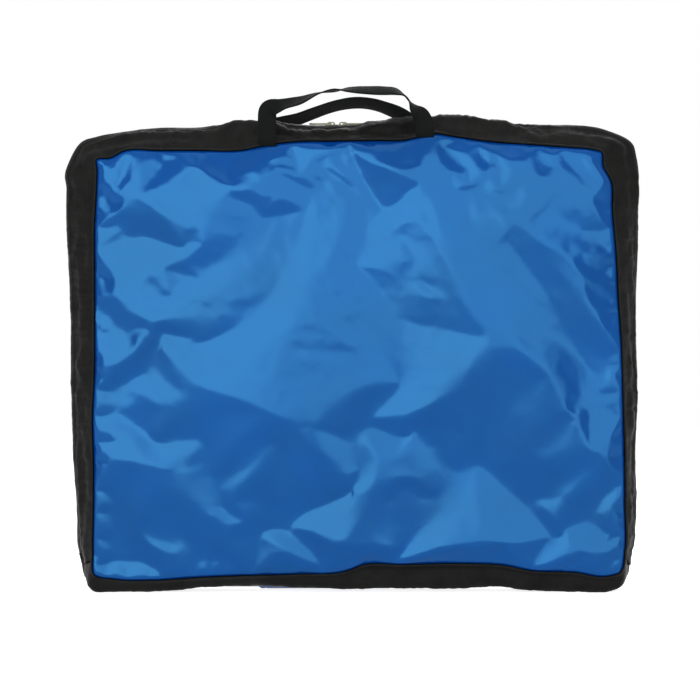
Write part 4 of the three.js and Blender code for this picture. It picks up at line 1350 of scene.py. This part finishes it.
def colour_property(name, description, default):
    return FloatVectorProperty(name=name, description=description, default=default, min=0, max=1,
                               size=3, subtype="COLOR_GAMMA")


def power_property(name, description, default):
    return FloatProperty(name=name, description=description, default=default, min=0, max=600,
                         unit="POWER")


class ROUNDNET_PG_bag(bpy.types.PropertyGroup):
    """Sizes and colours of the bag."""

    panel_bulge: FloatProperty(
        name="Panel bulge", description="How far each face stands out in its middle",
        default=0.0115, min=0, max=0.015, unit="LENGTH")
    seam_tuck: FloatProperty(
        name="Seam tuck", description="How far a face dips where it is sewn in",
        default=0.0028, min=0, max=0.006, unit="LENGTH")
    fold_depth: FloatProperty(
        name="Fold depth", description="Share of the front's folds", default=1.3, min=0, max=2,
        subtype="FACTOR")
    cloth_slack: FloatProperty(
        name="Cloth slack", description="How much larger the cloth is than its seams allow",
        default=0.006, min=0, max=0.03, subtype="FACTOR")
    webbing_width: FloatProperty(
        name="Webbing width", description="Width of the handles' webbing", default=0.020,
        min=0.01, max=0.03, unit="LENGTH")
    front_roughness: FloatProperty(
        name="Front roughness", description="Roughness of the front's coated nylon",
        default=0.11, min=0, max=1, subtype="FACTOR")
    front_colour: colour_property("Front", "Colour of the front's nylon", (0.012, 0.222, 0.512))
    gusset_colour: colour_property("Gusset", "Colour of the gusset's nylon", (0.034, 0.038, 0.031))
    tape_colour: colour_property("Tape", "Colour of the zip and binding tape", (0.05, 0.055, 0.055))
    webbing_colour: colour_property("Webbing", "Colour of the handles", (0.045, 0.055, 0.05))
    zip_metal_colour: colour_property("Zip metal", "Colour of the sliders", (0.38, 0.38, 0.33))


class ROUNDNET_PG_set(bpy.types.PropertyGroup):
    """Colours of what the bag holds."""

    ring_colour: colour_property("Ring", "Colour of the ring sections", (0.10, 0.10, 0.11))
    leg_colour: colour_property("Legs", "Colour of the legs", (0.89, 0.72, 0.08))
    net_colour: colour_property("Net", "Colour of the net's cord", (0.12, 0.13, 0.14))
    ball_colour: colour_property("Balls", "Colour of the balls", (0.94, 0.77, 0.10))
    pump_colour: colour_property("Pump", "Colour of the pump's barrel", (0.16, 0.37, 0.66))
    pump_trim_colour: colour_property("Pump trim", "Colour of the plunger", (0.13, 0.15, 0.16))
    needle_colour: colour_property("Needle", "Colour of the needle", (0.73, 0.74, 0.75))
    paper_colour: colour_property("Paper", "Colour of the rules sheet", (0.93, 0.93, 0.92))


class ROUNDNET_PG_stage(bpy.types.PropertyGroup):
    """Camera and light."""

    camera_distance: FloatProperty(
        name="Camera distance", description="From the camera to the middle of the bag",
        default=3.0, min=1, max=8, unit="LENGTH")
    lens: FloatProperty(
        name="Lens", description="Focal length of the camera in millimetres", default=140,
        min=20, max=400)
    left_power: power_property("Left power", "Power of the soft lamp at the camera's left", 77.0)
    right_power: power_property("Right power", "Power of the soft lamp at the camera's right", 47.5)
    overhead_power: power_property("Overhead power", "Power of the soft lamp above", 10.0)
    rear_power: power_property("Rear power", "Power of the soft lamp behind the bag", 22.0)
    surround: FloatProperty(
        name="Surround", description="Strength of the even light from all round",
        default=0.36, min=0, max=2, subtype="FACTOR")


# ---- Operators ----------------------------------------------------------------------------------


class ROUNDNET_OT_front_panel(bpy.types.Operator):
    """Make the crumpled blue front"""

    bl_idname = "roundnet.front_panel"
    bl_label = "Front panel"

    def execute(self, context):
        panel("front_face", FRONT, "panel_nylon", "flap", "front_panel", 118, 96)
        return {"FINISHED"}


class ROUNDNET_OT_back_panel(bpy.types.Operator):
    """Make the black back"""

    bl_idname = "roundnet.back_panel"
    bl_label = "Back panel"

    def execute(self, context):
        panel("back_face", REAR, "gusset_nylon", "root", "back_panel", 100, 82)
        return {"FINISHED"}


class ROUNDNET_OT_gusset(bpy.types.Operator):
    """Make the gusset's three lengths"""

    bl_idname = "roundnet.gusset"
    bl_label = "Gusset"

    def execute(self, context):
        upper = (ROLLED_SEAM + tuple((depth, 0) for depth in spaced(SEAM_DEPTH, 17.0, 14))
                 + ZIP_HEM)
        for name, side, body, node, seed in (
            ("front_gusset_cloth", FRONT, "flap", "front_gusset", 11),
            ("rear_gusset_cloth", REAR, "root", "rear_gusset", 29),
        ):
            piece = strip(name, "gusset_nylon", body, node, ZIP_LEFT, ZIP_RIGHT,
                          [(side * depth, inset) for depth, inset in upper], 900, folds=1.7,
                          seed=seed)
            declare_strip(ZIP_LEFT, ZIP_RIGHT, upper)
        middle = tuple((depth, 0) for depth in spaced(-SEAM_DEPTH, SEAM_DEPTH, 34))
        whole = (tuple((-depth, inset) for depth, inset in ROLLED_SEAM) + middle
                 + ROLLED_SEAM[::-1])
        piece = strip("bottom_gusset_cloth", "gusset_nylon", "root", "bottom_gusset",
                      ZIP_RIGHT, edge.length + ZIP_LEFT, whole, 300, folds=0.8, seed=41)
        declare_strip(ZIP_RIGHT, edge.length + ZIP_LEFT, whole)
        return {"FINISHED"}


class ROUNDNET_OT_zip(bpy.types.Operator):
    """Make the zip's two halves, its end tabs and the tapes that bind the seams inside"""

    bl_idname = "roundnet.zip"
    bl_label = "Zip and bindings"

    def execute(self, context):
        for name, side, body in (("front", FRONT, "flap"), ("rear", REAR, "root")):
            strip(name + "_zip_tape", "zip_tape", body, name + "_zip_half",
                  ZIP_LEFT + 1, ZIP_RIGHT - 1,
                  [(side * depth, inset) for depth, inset in ZIP_TAPE], 620, thickness=0.7)
            zip_teeth(name + "_zip_teeth", side, body)
            strip(name + "_binding_tape", "binding_tape", body, name + "_seam_binding",
                  0, edge.length,
                  [(side * depth, inset) for depth, inset in SEAM_BINDING], 420, thickness=0.6)
        half_length = 8
        tab = tuple((depth, -0.9) for depth in spaced(-13.0, 13.0, 12))
        for name, middle in (("left", ZIP_LEFT), ("right", ZIP_RIGHT)):
            strip(name + "_end_tab", "gusset_nylon", "root", "zip_end_tab_" + name,
                  middle - half_length, middle + half_length, tab, 12, thickness=0.8)
        return {"FINISHED"}


class ROUNDNET_OT_handles(bpy.types.Operator):
    """Make the two webbing handles"""

    bl_idname = "roundnet.handles"
    bl_label = "Handles"

    def execute(self, context):
        strap("front_strap", FRONT, FRONT_HANDLE, "front_handle", "front_handle")
        strap("rear_strap", REAR, REAR_HANDLE, "rear_handle", "rear_handle")
        return {"FINISHED"}


class ROUNDNET_OT_ring(bpy.types.Operator):
    """Make the ring's five sections"""

    bl_idname = "roundnet.ring"
    bl_label = "Ring sections"

    def execute(self, context):
        for number in range(5):
            name = f"ring_section_{number + 1}"
            piece_from("moulded_" + name, ring_section(number), "ring_plastic", "root", (name,))
        return {"FINISHED"}


class ROUNDNET_OT_legs(bpy.types.Operator):
    """Make the five legs"""

    bl_idname = "roundnet.legs"
    bl_label = "Legs"

    def execute(self, context):
        for number, (depth, centre, lean) in enumerate(LEGS, 1):
            piece_from(f"bent_leg_{number}", leg(depth, centre, lean), "leg_plastic", "root",
                       (f"leg_{number}",))
        return {"FINISHED"}


class ROUNDNET_OT_net(bpy.types.Operator):
    """Make the folded net"""

    bl_idname = "roundnet.net"
    bl_label = "Net"

    def execute(self, context):
        piece = piece_from("net_bundle", net_bundle(), "net_cord", "root", ("folded_net",))
        return {"FINISHED"}


class ROUNDNET_OT_balls(bpy.types.Operator):
    """Make the three balls, packed flat"""

    bl_idname = "roundnet.balls"
    bl_label = "Balls"

    def execute(self, context):
        for number in range(3):
            piece_from(f"flat_ball_{number + 1}", ball(number), "ball_rubber", "root",
                       (f"ball_{number + 1}",))
        return {"FINISHED"}


class ROUNDNET_OT_pump(bpy.types.Operator):
    """Make the ball pump: barrel, plunger and needle"""

    bl_idname = "roundnet.pump"
    bl_label = "Pump"

    def execute(self, context):
        for name, outline, slot, body, node in (
            ("turned_barrel", barrel_outline(), "pump_plastic", "root", "pump_barrel"),
            ("turned_plunger", plunger_outline(), "pump_trim", "plunger", "pump_plunger"),
            ("turned_needle", needle_outline(), "needle_steel", "root", "pump_needle"),
        ):
            piece_from(name, turned(outline, PUMP_PLACE), slot, body, (node,))
        return {"FINISHED"}


class ROUNDNET_OT_rules(bpy.types.Operator):
    """Make the folded rules sheet"""

    bl_idname = "roundnet.rules"
    bl_label = "Rules sheet"

    def execute(self, context):
        piece = piece_from("rules_leaf", rules_leaf(), "paper", "root", ("rules_sheet",))
        thicken(piece, PAPER_THICKNESS, offset=0)
        return {"FINISHED"}


class ROUNDNET_OT_finishes(bpy.types.Operator):
    """Give the modelled parts that stay their materials"""

    bl_idname = "roundnet.finishes"
    bl_label = "Finishes"

    def execute(self, context):
        slots = {row["node"]: row["material_slot"] for row in frame["record"]["subparts"]}
        for node, piece in frame["nodes"].items():
            if not piece.hide_render:
                piece.data.materials.clear()
                piece.data.materials.append(finish_for(slots[node]))
        return {"FINISHED"}


class ROUNDNET_OT_stage(bpy.types.Operator):
    """Make the floor, the light and the camera"""

    bl_idname = "roundnet.stage"
    bl_label = "Stage"

    def execute(self, context):
        lay_floor()
        light_world()
        hang_softboxes()
        set_camera()
        return {"FINISHED"}


class ROUNDNET_PT_panel(bpy.types.Panel):
    """Lists the pieces and their settings"""

    bl_label = "Roundnet Set"
    bl_idname = "ROUNDNET_PT_panel"
    bl_space_type = "VIEW_3D"
    bl_region_type = "UI"
    bl_category = "Roundnet"

    def draw(self, context):
        layout = self.layout
        for operator in OPERATORS:
            layout.operator(operator.bl_idname)
        for group in (context.scene.roundnet_bag, context.scene.roundnet_set,
                      context.scene.roundnet_stage):
            box = layout.box()
            for name in group.__annotations__:
                box.prop(group, name)


OPERATORS = (
    ROUNDNET_OT_front_panel,
    ROUNDNET_OT_back_panel,
    ROUNDNET_OT_gusset,
    ROUNDNET_OT_zip,
    ROUNDNET_OT_handles,
    ROUNDNET_OT_ring,
    ROUNDNET_OT_legs,
    ROUNDNET_OT_net,
    ROUNDNET_OT_balls,
    ROUNDNET_OT_pump,
    ROUNDNET_OT_rules,
    ROUNDNET_OT_finishes,
    ROUNDNET_OT_stage,
)
GROUPS = {
    "roundnet_bag": ROUNDNET_PG_bag,
    "roundnet_set": ROUNDNET_PG_set,
    "roundnet_stage": ROUNDNET_PG_stage,
}


def register():
    for group in GROUPS.values():
        bpy.utils.register_class(group)
    for operator in OPERATORS:
        bpy.utils.register_class(operator)
    bpy.utils.register_class(ROUNDNET_PT_panel)
    for name, group in GROUPS.items():
        setattr(bpy.types.Scene, name, PointerProperty(type=group))


def unregister():
    for name in GROUPS:
        delattr(bpy.types.Scene, name)
    bpy.utils.unregister_class(ROUNDNET_PT_panel)
    for operator in reversed(OPERATORS):
        bpy.utils.unregister_class(operator)
    for group in GROUPS.values():
        bpy.utils.unregister_class(group)


def main():
    register()
    for operator in OPERATORS:
        group, name = operator.bl_idname.split(".")
        getattr(getattr(bpy.ops, group), name)()


if __name__ == "__main__":
    main()
